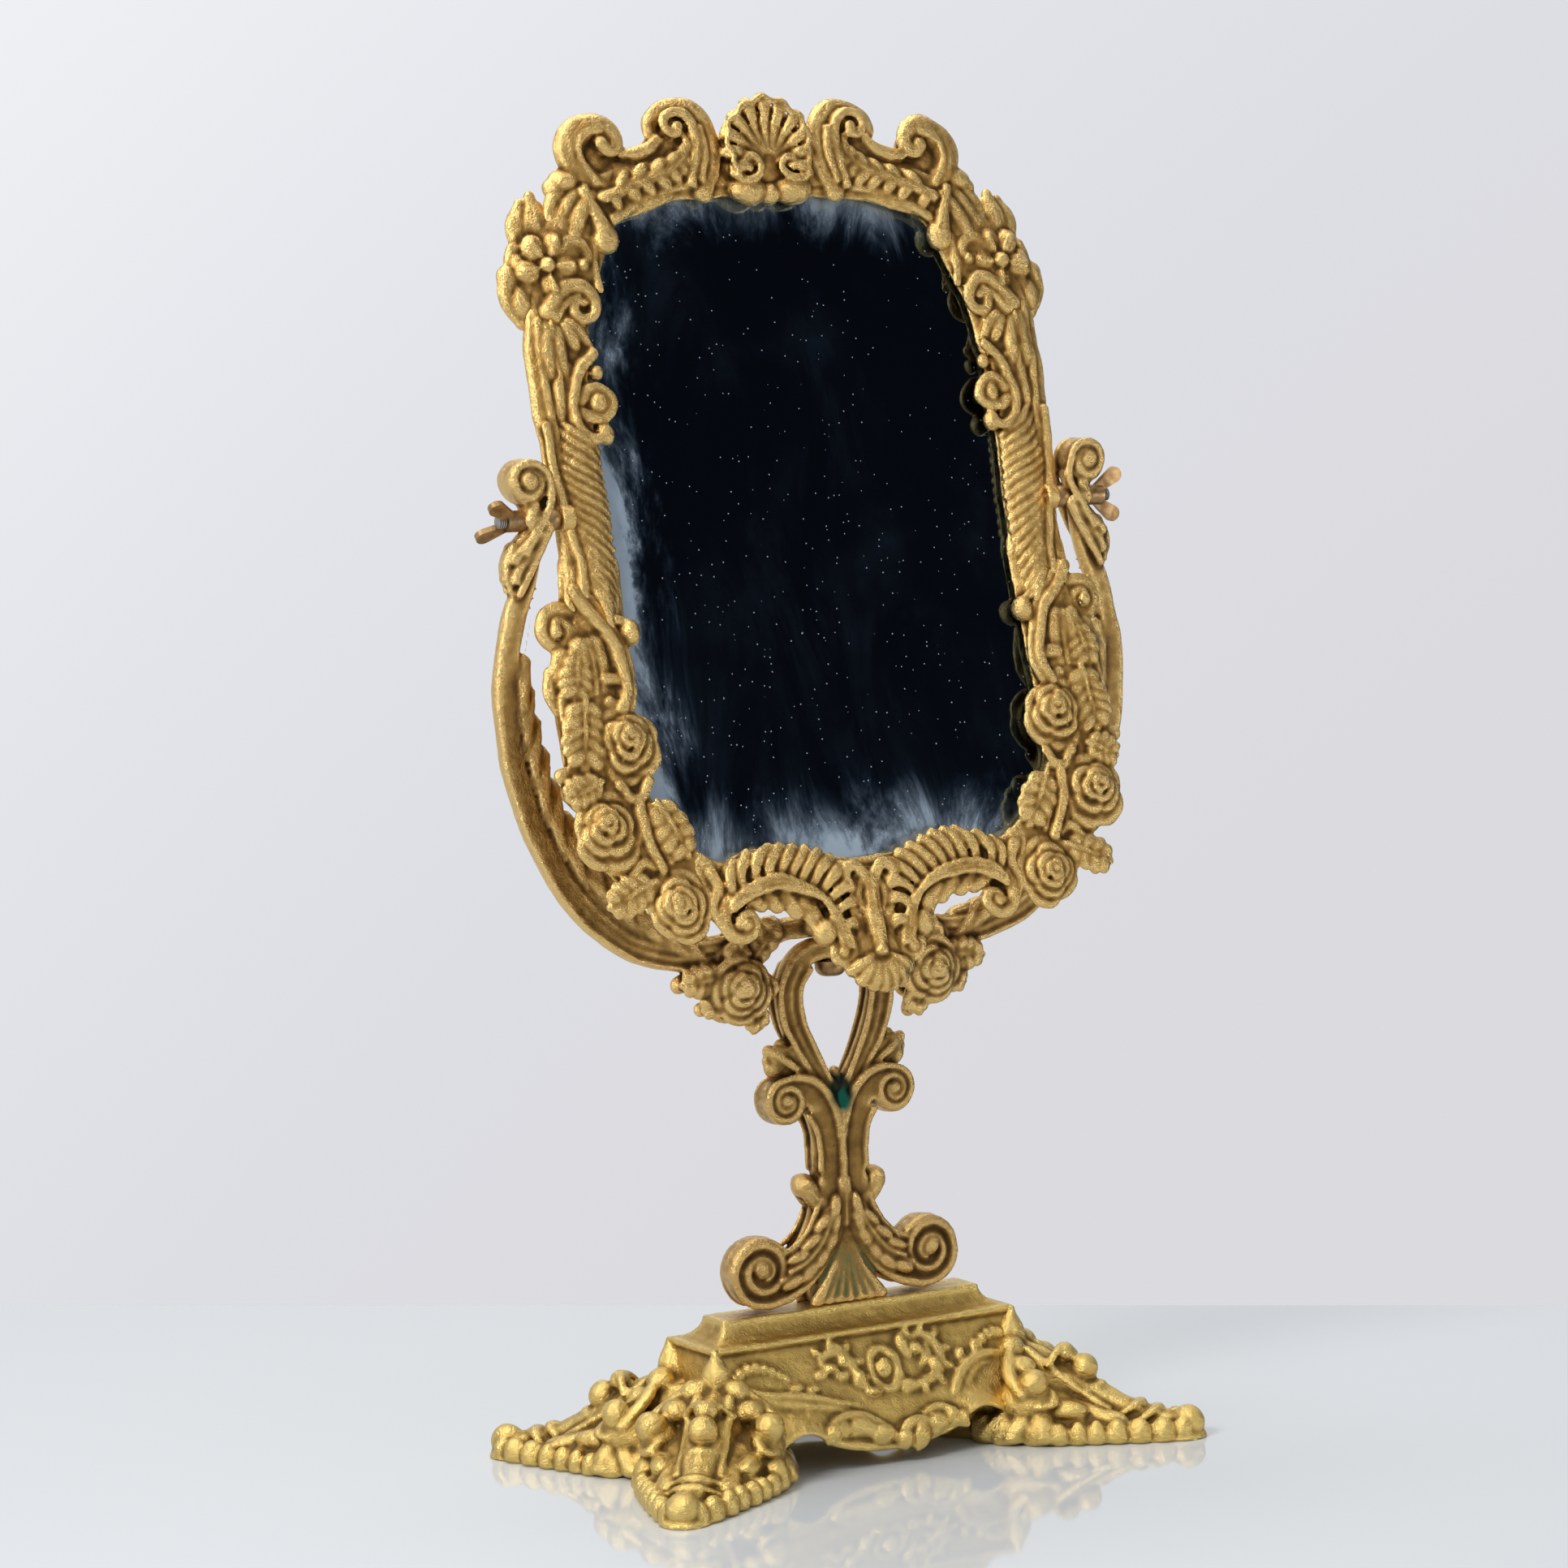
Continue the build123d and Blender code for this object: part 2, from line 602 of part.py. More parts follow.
with BuildPart() as frame_casting:
    with BuildSketch(frame_plane.offset(frame_back)):
        with BuildLine():
            Spline(*frame_edge)
            Line(frame_edge[-1], aperture_edge[0])
            Spline(*aperture_edge)
            Line(aperture_edge[-1], frame_edge[0])
        make_face()
        add(discs(frame_discs + frame_roses))
        add([ribbon(crest_scroll_path, 5, 6), ribbon(arch_path, 9, 6)])
        add([leaf(*place) for place in frame_leaves])
        add(flower(flower_place, flower_ring, petal_radius))
    extrude(amount=frame_front - frame_back)
    with BuildSketch(frame_plane.offset(frame_front)):
        add([leaf(*plume), ribbon(stile_path, 9, 9)])
    extrude(amount=relief_low)
    with BuildSketch(frame_plane.offset(frame_front)):
        add([leaf((75.5, height - 4), (86, height + 5), 2.0) for height in barb_heights])
        add([scroll_line(outer_scroll, 60, -1.5), scroll_line(inner_scroll, 150, 1.4)])
        add([scroll_line(side_scroll, -90, 1.4), scroll_line(arch_scroll, 90, 1.4)])
        add([traced(arch_path, 2.4), traced([(57, 98), (46, 104), (34, 108), (25, 110)], 1.6)])
    extrude(amount=relief_mid)
    with BuildSketch(frame_plane.offset(frame_front)):
        add(flower(flower_place, flower_ring, petal_radius * 0.7))
        add(discs([(*bead_scroll[:2], 3.0), (*middle_scroll[:2], 3.0)]))
    extrude(amount=relief_high)
    for x, y, radius in frame_roses:
        for shape, rise in rose((x, y), radius, relief_high):
            with BuildSketch(frame_plane.offset(frame_front)):
                add(shape)
            extrude(amount=rise)
    mirror(about=Plane.YZ)
    with BuildSketch(frame_plane.offset(frame_back)):
        add(discs([shell_place, low_shell_place]))
        with Locations((0, (frame_edge[-1][1] + low_shell_place[1]) / 2)):
            Rectangle(middle_rod_width, frame_edge[-1][1] - low_shell_place[1] + 4)
    extrude(amount=frame_front + relief_low - frame_back)
    with BuildSketch(frame_plane.offset(frame_front)):
        for turn in shell_rib_turns:
            add([rib(shell_hinge, shell_rib_reach, turn), rib(shell_hinge, shell_rib_reach, 180 - turn)])
        for turn in low_shell_rib_turns:
            add([rib(low_shell_hinge, low_shell_rib_reach, turn), rib(low_shell_hinge, low_shell_rib_reach, 180 - turn)])
        add(rib(low_shell_hinge, low_shell_rib_reach, -90))
    extrude(amount=relief_high)
    with BuildSketch(frame_plane.offset(frame_back)):
        add(plate_outline(rebate_gap + rebate_wall))
        with Locations(*boss_places):
            Circle(clip_boss_radius)
        add(plate_outline(rebate_gap), mode=Mode.SUBTRACT)
    extrude(amount=-stack_thickness)
    for side in (-1, 1):
        with Locations(Location((side * frame_side, 0, pivot_height), (0, side * 90, 0))):
            Cylinder(lug_radius, frame_side - plate_half_width - rebate_gap, align=under_roof)
            Cylinder(stud_radius + thread_gap, frame_side - stud_root, align=under_roof, mode=Mode.SUBTRACT)
    with BuildSketch(frame_plane.offset(stack_back)):
        with Locations(*boss_places):
            Circle(clip_screw_radius + thread_gap)
    extrude(amount=clip_screw_grip + 1, mode=Mode.SUBTRACT)
frame_casting.part.label = "frame_casting"
export_step(frame_casting.part, "parts/frame_casting.step")

# Mirror plate, card and back board, stacked in the frame's rebate
with BuildPart() as mirror_plate:
    with BuildSketch(frame_plane.offset(frame_back)):
        add(plate_outline(0))
    extrude(amount=-glass_thickness)
mirror_plate.part.label = "mirror_plate"
export_step(mirror_plate.part, "parts/mirror_plate.step")

with BuildPart() as backing_card:
    with BuildSketch(frame_plane.offset(frame_back - glass_thickness)):
        add(plate_outline(0))
    extrude(amount=-card_thickness)
backing_card.part.label = "backing_card"
export_step(backing_card.part, "parts/backing_card.step")

with BuildPart() as back_board:
    with BuildSketch(frame_plane.offset(stack_back)):
        add(plate_outline(0))
    extrude(amount=board_thickness)
back_board.part.label = "back_board"
export_step(back_board.part, "parts/back_board.step")

# Tabs screwed to the frame's bosses hold the board
clip_shift = clip_length / 2 - clip_overhang - boss_offset

with BuildPart() as retaining_clips:
    with BuildSketch(frame_plane.offset(stack_back)):
        for x, y in boss_places:
            if x == 0:
                with Locations((x, y + clip_shift * (1 if y > 0 else -1))):
                    Rectangle(clip_width, clip_length)
            else:
                with Locations((x + clip_shift * (1 if x > 0 else -1), y)):
                    Rectangle(clip_length, clip_width)
        with Locations(*boss_places):
            Circle(clip_screw_radius + hole_gap, mode=Mode.SUBTRACT)
    extrude(amount=-clip_thickness)
retaining_clips.part.label = "retaining_clips"
export_step(retaining_clips.part, "parts/retaining_clips.step")

with BuildPart() as clip_screws:
    with BuildSketch(frame_plane.offset(stack_back - clip_thickness)):
        with Locations(*boss_places):
            Circle(clip_screw_radius)
    extrude(amount=clip_thickness + clip_screw_grip)
    with BuildSketch(frame_plane.offset(stack_back - clip_thickness)):
        with Locations(*boss_places):
            Circle(clip_head_radius)
    extrude(amount=-clip_head_height)
clip_screws.part.label = "clip_screws"
export_step(clip_screws.part, "parts/clip_screws.step")


# Studs screwed into the frame's lugs, and the beads that space the frame from the arms
stud_length = stud_tip - stud_root - hole_gap
bead_length = arm_inner_face - frame_side
bead_middle = (arm_inner_face + frame_side) / 2

with BuildPart() as pivot_stud_left:
    with Locations(on_axis(-stud_tip)):
        Cylinder(stud_radius, stud_length, align=under_roof)
pivot_stud_left.part.label = "pivot_stud_left"
export_step(pivot_stud_left.part, "parts/pivot_stud_left.step")

with BuildPart() as pivot_stud_right:
    with Locations(on_axis(stud_tip)):
        Cylinder(stud_radius, stud_length, align=under_roof)
pivot_stud_right.part.label = "pivot_stud_right"
export_step(pivot_stud_right.part, "parts/pivot_stud_right.step")

with BuildPart() as spacer_bead_left:
    with Locations(on_axis(-bead_middle)):
        Sphere(bead_radius)
        Box(3 * bead_radius, 3 * bead_radius, bead_length, mode=Mode.INTERSECT)
        Cylinder(stud_radius + running_gap, 2 * bead_length, mode=Mode.SUBTRACT)
spacer_bead_left.part.label = "spacer_bead_left"
export_step(spacer_bead_left.part, "parts/spacer_bead_left.step")

with BuildPart() as spacer_bead_right:
    with Locations(on_axis(bead_middle)):
        Sphere(bead_radius)
        Box(3 * bead_radius, 3 * bead_radius, bead_length, mode=Mode.INTERSECT)
        Cylinder(stud_radius + running_gap, 2 * bead_length, mode=Mode.SUBTRACT)
spacer_bead_right.part.label = "spacer_bead_right"
export_step(spacer_bead_right.part, "parts/spacer_bead_right.step")


def wing(side):
    """One wing, drawn outwards along x with its spread along y."""
    with BuildSketch(Plane.XY) as blade:
        with Locations((wing_root_reach, side * wing_root_spread)):
            Circle(wing_root_radius)
        with Locations((wing_reach, side * wing_spread)):
            Circle(wing_lobe_radius)
        make_hull()
    return blade.sketch


def wing_plane(side, turn):
    """Plane through the tilting axis in which a nut's wings lie, turned about that axis."""
    angle = radians(turn)
    return Plane(
        origin=(side * arm_outer_face, 0, pivot_height),
        x_dir=(side, 0, 0),
        z_dir=(0, -sin(angle), cos(angle)),
    )


# Wing nuts that clamp the arms against the beads
with BuildPart() as wing_nut_left:
    with Locations(on_axis(-arm_outer_face)):
        Cylinder(nut_barrel_radius, nut_barrel_length, align=on_floor)
    with BuildSketch(wing_plane(-1, wing_turn_left)):
        add([wing(1), wing(-1)])
    extrude(amount=wing_thickness / 2, both=True)
    with Locations(on_axis(-arm_outer_face)):
        Cylinder(stud_radius + running_gap, 2 * wing_reach, mode=Mode.SUBTRACT)
wing_nut_left.part.label = "wing_nut_left"
export_step(wing_nut_left.part, "parts/wing_nut_left.step")

with BuildPart() as wing_nut_right:
    with Locations(on_axis(arm_outer_face)):
        Cylinder(nut_barrel_radius, nut_barrel_length, align=on_floor)
    with BuildSketch(wing_plane(1, wing_turn_right)):
        add([wing(1), wing(-1)])
    extrude(amount=wing_thickness / 2, both=True)
    with Locations(on_axis(arm_outer_face)):
        Cylinder(stud_radius + running_gap, 2 * wing_reach, mode=Mode.SUBTRACT)
wing_nut_right.part.label = "wing_nut_right"
export_step(wing_nut_right.part, "parts/wing_nut_right.step")
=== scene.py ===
import bmesh, bpy, math
import numpy as np
from mathutils import Matrix, Vector, noise


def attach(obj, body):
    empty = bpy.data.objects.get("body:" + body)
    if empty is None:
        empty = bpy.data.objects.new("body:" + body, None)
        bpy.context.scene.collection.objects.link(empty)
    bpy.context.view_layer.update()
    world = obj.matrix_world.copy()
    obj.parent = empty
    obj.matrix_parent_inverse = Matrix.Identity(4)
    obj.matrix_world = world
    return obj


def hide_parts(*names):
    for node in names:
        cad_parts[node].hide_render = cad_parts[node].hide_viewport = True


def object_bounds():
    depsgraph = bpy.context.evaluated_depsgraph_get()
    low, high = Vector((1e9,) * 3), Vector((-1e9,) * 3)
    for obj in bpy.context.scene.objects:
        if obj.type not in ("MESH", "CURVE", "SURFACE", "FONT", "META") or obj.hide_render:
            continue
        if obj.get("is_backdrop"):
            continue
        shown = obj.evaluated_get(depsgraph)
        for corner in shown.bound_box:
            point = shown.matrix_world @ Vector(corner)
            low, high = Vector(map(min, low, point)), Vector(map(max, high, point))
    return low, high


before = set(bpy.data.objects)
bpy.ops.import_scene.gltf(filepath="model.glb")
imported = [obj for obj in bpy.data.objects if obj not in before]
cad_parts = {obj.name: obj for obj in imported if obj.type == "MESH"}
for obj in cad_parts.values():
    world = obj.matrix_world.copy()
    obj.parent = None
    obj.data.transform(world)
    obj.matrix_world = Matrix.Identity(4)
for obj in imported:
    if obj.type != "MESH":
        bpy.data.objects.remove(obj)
cad_low, cad_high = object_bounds()
# Blender takes the seed of its vector noise from the clock unless a script sets one.
noise.seed_set(1)

# Carved frame, crest. Cast brass, chased by hand: a ribbed shell between two C scrolls that run
# out into acanthus plumes. The ornament is laid out in millimetres across, up and out from the
# tilting axis, on the frame's own leaning plane, and the right half is mirrored.
lean = math.radians(11.8)
pivot_height = 0.292
on_frame = Matrix((
    (1, 0, 0, 0),
    (0, math.sin(lean), -math.cos(lean), 0),
    (0, math.cos(lean), math.sin(lean), pivot_height),
    (0, 0, 0, 1),
))


def swept(into, runs, flatness):
    """Adds bars along smooth runs of (across, up, out, radius) in mm; a flatness of 1 is round."""
    thinnest_domed_end = 0.7
    dome_share = 0.98
    curve = bpy.data.curves.new("swept", "CURVE")
    curve.dimensions = "3D"
    curve.bevel_depth = 1 / 1000
    curve.bevel_resolution = 2
    curve.resolution_u = 6
    curve.use_fill_caps = True
    for run in runs:
        spline = curve.splines.new("BEZIER")
        spline.bezier_points.add(len(run) - 1)
        spline.radius_interpolation = "CARDINAL"
        for point, (across, up, out, radius) in zip(spline.bezier_points, run):
            point.co = (across / 1000, up / 1000, out / 1000 / flatness)
            point.handle_left_type = point.handle_right_type = "AUTO"
            point.radius = radius
    holder = bpy.data.objects.new("swept", curve)
    bpy.context.collection.objects.link(holder)
    mesh = evaluated(holder)
    mesh.transform(Matrix.Diagonal((1, 1, flatness, 1)))
    into.from_mesh(mesh)
    bpy.data.meshes.remove(mesh)
    for run in runs:
        for across, up, out, radius in (run[0], run[-1]):
            if radius > thinnest_domed_end:
                wide, deep = radius * dome_share, radius * flatness * dome_share
                domed(into, [(across, up, out, wide, wide, deep, 0)])


def evaluated(holder):
    """The mesh of a helper object with its modifiers or bevel; the helper is removed."""
    mesh = bpy.data.meshes.new_from_object(holder.evaluated_get(bpy.context.evaluated_depsgraph_get()))
    bpy.data.objects.remove(holder)
    return mesh


def ridged(into, runs):
    """Adds raised lines: low, soft bars, wider than they are high, as a pattern maker's tool leaves them."""
    spread, flatness = 1.4, 0.6
    swept(into, [[(u, v, out, radius * spread) for u, v, out, radius in run] for run in runs], flatness)


def domed(into, places):
    """Adds flattened balls of (across, up, out, three radii, turn in degrees)."""
    for across, up, out, wide, high, deep, turn in places:
        place = (
            Matrix.Translation((across / 1000, up / 1000, out / 1000))
            @ Matrix.Rotation(math.radians(turn), 4, "Z")
            @ Matrix.Diagonal((wide / 1000, high / 1000, deep / 1000, 1))
        )
        bmesh.ops.create_icosphere(into, subdivisions=3, radius=1, matrix=place)


def feathered(into, rib, barbs, out, rise, width):
    """Adds a midrib and its barbs; each barb is (share of the rib, reach across, reach up, droop)."""
    ridged(into, [[(u, v, out + rise, width) for u, v in rib]])
    runs = []
    for share, across, up, droop in barbs:
        place = share * (len(rib) - 1)
        step = min(int(place), len(rib) - 2)
        part = place - step
        u = rib[step][0] + (rib[step + 1][0] - rib[step][0]) * part
        v = rib[step][1] + (rib[step + 1][1] - rib[step][1]) * part
        runs.append([
            (u, v, out + rise * 0.7, width * 0.75),
            (u + across * 0.5, v + up * 0.5 + droop, out + rise, width * 1.05),
            (u + across, v + up, out + rise * 0.3, width * 0.6),
        ])
    ridged(into, runs)


def rosette(into, centre, radius, out, rise, heart, turn=20):
    """Adds a full-blown rose: a low dome, rings of rolled petal lips that climb to a wound heart."""
    u, v = centre
    domed(into, [(u, v, out, radius * 0.92, radius * 0.92, rise * 0.75, 0)])
    # Each ring: share of the radius, share of the rise, thickness of the lips, petals.
    rings = [(0.84, 0.2, 0.125, 5), (0.60, 0.52, 0.1, 4), (0.38, 0.8, 0.09, 3), (0.18, 1.0, 0.075, 3)]
    broad_rings = 2
    ring_turn = 37
    overlap = 26
    steps = 4
    runs = []
    for ring, (reach, lift, lip, count) in enumerate(rings):
        middle = (u + (heart[0] - u) * (1 - reach), v + (heart[1] - v) * (1 - reach))
        for petal in range(count):
            start = turn + ring * ring_turn + petal * 360 / count
            if ring < broad_rings:
                facing = math.radians(start + 180 / count + 8)
                domed(into, [(
                    middle[0] + radius * reach * 0.72 * math.cos(facing),
                    middle[1] + radius * reach * 0.72 * math.sin(facing),
                    out + rise * lift * 0.9,
                    radius * 0.3, radius * 0.46 * reach / rings[0][0], abs(rise) * 0.24, math.degrees(facing),
                )])
            uneven = 0.06 * math.cos(2.4 * petal + 1.7 * ring)
            run = []
            for step in range(steps + 1):
                angle = math.radians(start + step * (360 / count + overlap) / steps)
                bulge = math.sin(math.pi * step / steps)
                swell = 1 + 0.13 * bulge - 0.16 * (step == steps) + uneven
                run.append((
                    middle[0] + radius * reach * swell * math.cos(angle),
                    middle[1] + radius * reach * swell * math.sin(angle),
                    out + rise * lift + 0.3 * step / steps,
                    radius * lip * (0.7 + 0.4 * bulge),
                ))
            runs.append(run)
    ridged(into, runs)
    domed(into, [(heart[0], heart[1], out + rise * 0.95, radius * 0.13, radius * 0.13, radius * 0.13, 0)])


def mirrored(into):
    """Adds the mirror image across the middle line."""
    image = bmesh.ops.duplicate(into, geom=into.verts[:] + into.edges[:] + into.faces[:])["geom"]
    bmesh.ops.scale(into, vec=(-1, 1, 1), verts=[g for g in image if isinstance(g, bmesh.types.BMVert)])
    bmesh.ops.reverse_faces(into, faces=[g for g in image if isinstance(g, bmesh.types.BMFace)])


def ground(into, low, high, nearest=-0.3, farthest=130):
    """Adds the frame's plain plate, right half only, between two heights and two distances in mm."""
    half_thickness, rounding, middle_plane = 1.5, 0.6, -1.35
    outer = [(0, 107), (24, 108.5), (44, 107.5), (61, 103.5), (71, 96), (78.5, 85), (86, 70), (88.8, 52),
             (88.4, 30), (86.4, 8), (86, -24), (89, -36), (94, -46), (96, -60), (94.5, -76), (91, -92),
             (85.5, -105), (75, -114.5), (60, -119.5), (46, -118.5), (34, -116.8), (20, -115.5), (10, -117),
             (0, -118)]
    inner = [(0, 101), (25, 101.5), (47, 96), (61.5, 86), (70, 68), (72, 50), (73, 20), (73.6, 0), (74, -28),
             (74, -58), (71, -85), (61, -99), (47, -107), (30, -104.5), (13, -111), (0, -112)]
    curve = bpy.data.curves.new("plate", "CURVE")
    curve.dimensions = "2D"
    curve.fill_mode = "BOTH"
    curve.extrude = half_thickness / 1000
    curve.bevel_depth = rounding / 1000
    curve.resolution_u = 5
    for edge in (outer, inner):
        points = edge + [(-u, v) for u, v in reversed(edge[1:-1])]
        spline = curve.splines.new("BEZIER")
        spline.bezier_points.add(len(points) - 1)
        spline.use_cyclic_u = True
        for point, (u, v) in zip(spline.bezier_points, points):
            point.co = (u / 1000, v / 1000, 0)
            point.handle_left_type = point.handle_right_type = "AUTO"
    holder = bpy.data.objects.new("plate", curve)
    bpy.context.collection.objects.link(holder)
    mesh = evaluated(holder)
    plate = bmesh.new()
    plate.from_mesh(mesh)
    bmesh.ops.remove_doubles(plate, verts=plate.verts, dist=0.00002)
    bmesh.ops.translate(plate, vec=(0, 0, middle_plane / 1000), verts=plate.verts)
    for place, away in [
        ((0, low / 1000, 0), (0, -1, 0)), ((0, high / 1000, 0), (0, 1, 0)),
        ((nearest / 1000, 0, 0), (-1, 0, 0)), ((farthest / 1000, 0, 0), (1, 0, 0)),
    ]:
        everything = plate.verts[:] + plate.edges[:] + plate.faces[:]
        bmesh.ops.bisect_plane(plate, geom=everything, plane_co=place, plane_no=away, clear_outer=True)
        bmesh.ops.holes_fill(plate, edges=[edge for edge in plate.edges if edge.is_boundary])
    bmesh.ops.recalc_face_normals(plate, faces=plate.faces[:])
    plate.to_mesh(mesh)
    plate.free()
    into.from_mesh(mesh)
    bpy.data.meshes.remove(mesh)


def cast(name, shape, place, grain=0.5, smoothing=2, handmade=1.0):
    """Fuses overlapping shapes into one skin, as uneven as a hand-carved casting, inside the CAD's box.

    Sizes are in mm: lines drift sideways over 11 mm, and lumps and dimples stand in the surface.
    """
    drift_size, drift_reach = 11, 0.8
    lump_size, lump_height = 4.2, 0.2
    dimple_size, dimple_height = 1.7, 0.07
    mesh = bpy.data.meshes.new(name)
    shape.to_mesh(mesh)
    shape.free()
    rough = bpy.data.objects.new(name, mesh)
    bpy.context.collection.objects.link(rough)
    remesh = rough.modifiers.new("fuse", "REMESH")
    remesh.mode = "VOXEL"
    remesh.voxel_size = grain / 1000
    fused = evaluated(rough)
    bpy.data.meshes.remove(mesh)
    skin = bmesh.new()
    skin.from_mesh(fused)
    for _ in range(smoothing):
        bmesh.ops.smooth_vert(
            skin, verts=skin.verts, factor=0.5, use_axis_x=True, use_axis_y=True, use_axis_z=True,
        )
    skin.normal_update()
    for vert in skin.verts:
        spot = vert.co * 1000
        drift = noise.noise_vector(spot / drift_size)
        lump = noise.noise(spot / lump_size) * lump_height + noise.noise(spot / dimple_size) * dimple_height
        vert.co += (Vector((drift.x, drift.y, 0)) * drift_reach + vert.normal * lump) * handmade / 1000
    bmesh.ops.transform(skin, matrix=place, verts=skin.verts)
    for vert in skin.verts:
        vert.co = [min(max(spot, low), high) for spot, low, high in zip(vert.co, cad_low, cad_high)]
    skin.to_mesh(fused)
    skin.free()
    fused.name = name
    for face in fused.polygons:
        face.use_smooth = True
    store_hollows(fused)
    piece = bpy.data.objects.new(name, fused)
    bpy.context.collection.objects.link(piece)
    return piece


def store_hollows(mesh):
    """Stores how deep each point lies in a hollow (above 0.5) or how proud it stands on a ridge (below).

    A few rounds of smoothing show the fine grooves and many the broad hollows; the gains are per metre.
    """
    fine_rounds, fine_gain = 8, 1250
    broad_rounds, broad_gain = 36, 260
    count = len(mesh.vertices)
    start = np.empty(count * 3)
    mesh.vertices.foreach_get("co", start)
    start = start.reshape(-1, 3)
    normals = np.empty(count * 3)
    mesh.vertices.foreach_get("normal", normals)
    normals = normals.reshape(-1, 3)
    edges = np.empty(len(mesh.edges) * 2, int)
    mesh.edges.foreach_get("vertices", edges)
    ends = edges.reshape(-1, 2)
    here, there = np.concatenate([ends, ends[:, ::-1]]).T
    links = np.bincount(here, minlength=count).clip(1)
    soft = start.copy()
    for done in range(1, broad_rounds + 1):
        soft = np.stack([np.bincount(here, soft[there, axis], count) / links for axis in range(3)], 1)
        if done == fine_rounds:
            fine = ((soft - start) * normals).sum(1)
    broad = ((soft - start) * normals).sum(1)
    depth = 0.5 + fine * fine_gain + broad * broad_gain
    mesh.attributes.new("hollow", "FLOAT", "POINT").data.foreach_set("value", depth.clip(0, 1))


def linear(hex_colour):
    """An sRGB hex colour as the linear colour that a shader socket takes."""
    channels = [int(hex_colour[i:i + 2], 16) / 255 for i in (1, 3, 5)]
    return [c / 12.92 if c <= 0.04045 else ((c + 0.055) / 1.055) ** 2.4 for c in channels] + [1]


def node(tree, kind, settings=None, **links):
    """Adds a shader node; a link is a socket name with a value or another node's output."""
    made = tree.nodes.new(kind)
    for key, value in (settings or {}).items():
        setattr(made, key, value)
    for key, value in links.items():
        socket = made.inputs[int(key[1:])] if key[0] == "_" else made.inputs[key.replace("_", " ")]
        if isinstance(value, bpy.types.NodeSocket):
            tree.links.new(value, socket)
        else:
            socket.default_value = value
    return made


def new_material(name):
    material = bpy.data.materials.new(name)
    material.use_nodes = True
    material.node_tree.nodes.clear()
    return material, material.node_tree


def ramp(tree, factor, stops):
    """A colour ramp from (place, colour) stops."""
    made = node(tree, "ShaderNodeValToRGB", Fac=factor)
    while len(made.color_ramp.elements) < len(stops):
        made.color_ramp.elements.new(0.5)
    for element, (place, colour) in zip(made.color_ramp.elements, stops):
        element.position = place
        element.color = colour if not isinstance(colour, float) else (colour, colour, colour, 1)
    return made.outputs[0]


def cast_brass(name, ridge, face, groove, pit, shine, stains=()):
    """Sand-cast brass, bright on its worn ridges and brown in its grooves, with stains where damp sat.

    The clouds in its tone are about 11 mm across, its dents 3 mm and its sand grain 0.7 mm. Each stain
    is a tint, its middle and reach in metres, and whether it is kept to the grooves.
    """
    material, tree = new_material(name)
    where = node(tree, "ShaderNodeTexCoord").outputs["Object"]
    hollow = node(tree, "ShaderNodeAttribute", {"attribute_name": "hollow"}).outputs["Fac"]
    cloud = node(tree, "ShaderNodeTexNoise", Vector=where, Scale=90.0, Detail=5.0, Roughness=0.6).outputs[0]
    sand = node(tree, "ShaderNodeTexNoise", Vector=where, Scale=1500.0, Detail=3.0, Roughness=0.65).outputs[0]
    dents = node(tree, "ShaderNodeTexNoise", Vector=where, Scale=330.0, Detail=2.0, Roughness=0.5).outputs[0]
    worn = node(tree, "ShaderNodeMath", {"operation": "MULTIPLY_ADD"}, _0=cloud, _1=0.35, _2=hollow)
    tone = node(tree, "ShaderNodeMath", {"operation": "SUBTRACT"}, _0=worn.outputs[0], _1=0.175).outputs[0]
    colour = ramp(tree, tone, [
        (0.30, linear(ridge)), (0.48, linear(face)), (0.68, linear(groove)), (0.90, linear(pit)),
    ])
    rough = ramp(tree, tone, [(0.30, shine), (0.55, shine + 0.09), (0.85, 0.6)])
    for tint, middle, reach, kept in stains:
        away = node(tree, "ShaderNodeVectorMath", {"operation": "SUBTRACT"}, _0=where, _1=middle).outputs[0]
        away = node(tree, "ShaderNodeVectorMath", {"operation": "DIVIDE"}, _0=away, _1=reach).outputs[0]
        away = node(tree, "ShaderNodeVectorMath", {"operation": "LENGTH"}, _0=away).outputs["Value"]
        away = node(
            tree, "ShaderNodeMath", {"operation": "MULTIPLY_ADD"}, _0=cloud, _1=0.9, _2=away,
        ).outputs[0]
        amount = node(
            tree, "ShaderNodeMapRange", Value=away, From_Min=1.1, From_Max=1.6, To_Min=0.92, To_Max=0.0,
        ).outputs[0]
        if kept:
            sunk = node(tree, "ShaderNodeMapRange", Value=tone, From_Min=0.44, From_Max=0.66).outputs[0]
            amount = node(tree, "ShaderNodeMath", {"operation": "MULTIPLY"}, _0=amount, _1=sunk).outputs[0]
        colour = node(
            tree, "ShaderNodeMix", {"data_type": "RGBA"}, _0=amount, _6=colour, _7=linear(tint),
        ).outputs[2]
        rough = node(tree, "ShaderNodeMath", {"operation": "MAXIMUM"}, _0=rough, _1=amount).outputs[0]
    bump = node(tree, "ShaderNodeBump", Strength=0.7, Distance=0.0009, Height=dents).outputs[0]
    bump = node(tree, "ShaderNodeBump", Strength=0.8, Distance=0.0005, Height=sand, Normal=bump).outputs[0]
    shader = node(
        tree, "ShaderNodeBsdfPrincipled", Base_Color=colour, Metallic=1.0, Roughness=rough, Normal=bump,
    )
    node(tree, "ShaderNodeOutputMaterial", Surface=shader.outputs[0])
    return material


frame_brass = cast_brass("cast_brass_frame", "#E2BE78", "#BE9552", "#8A6634", "#553F22", 0.22)

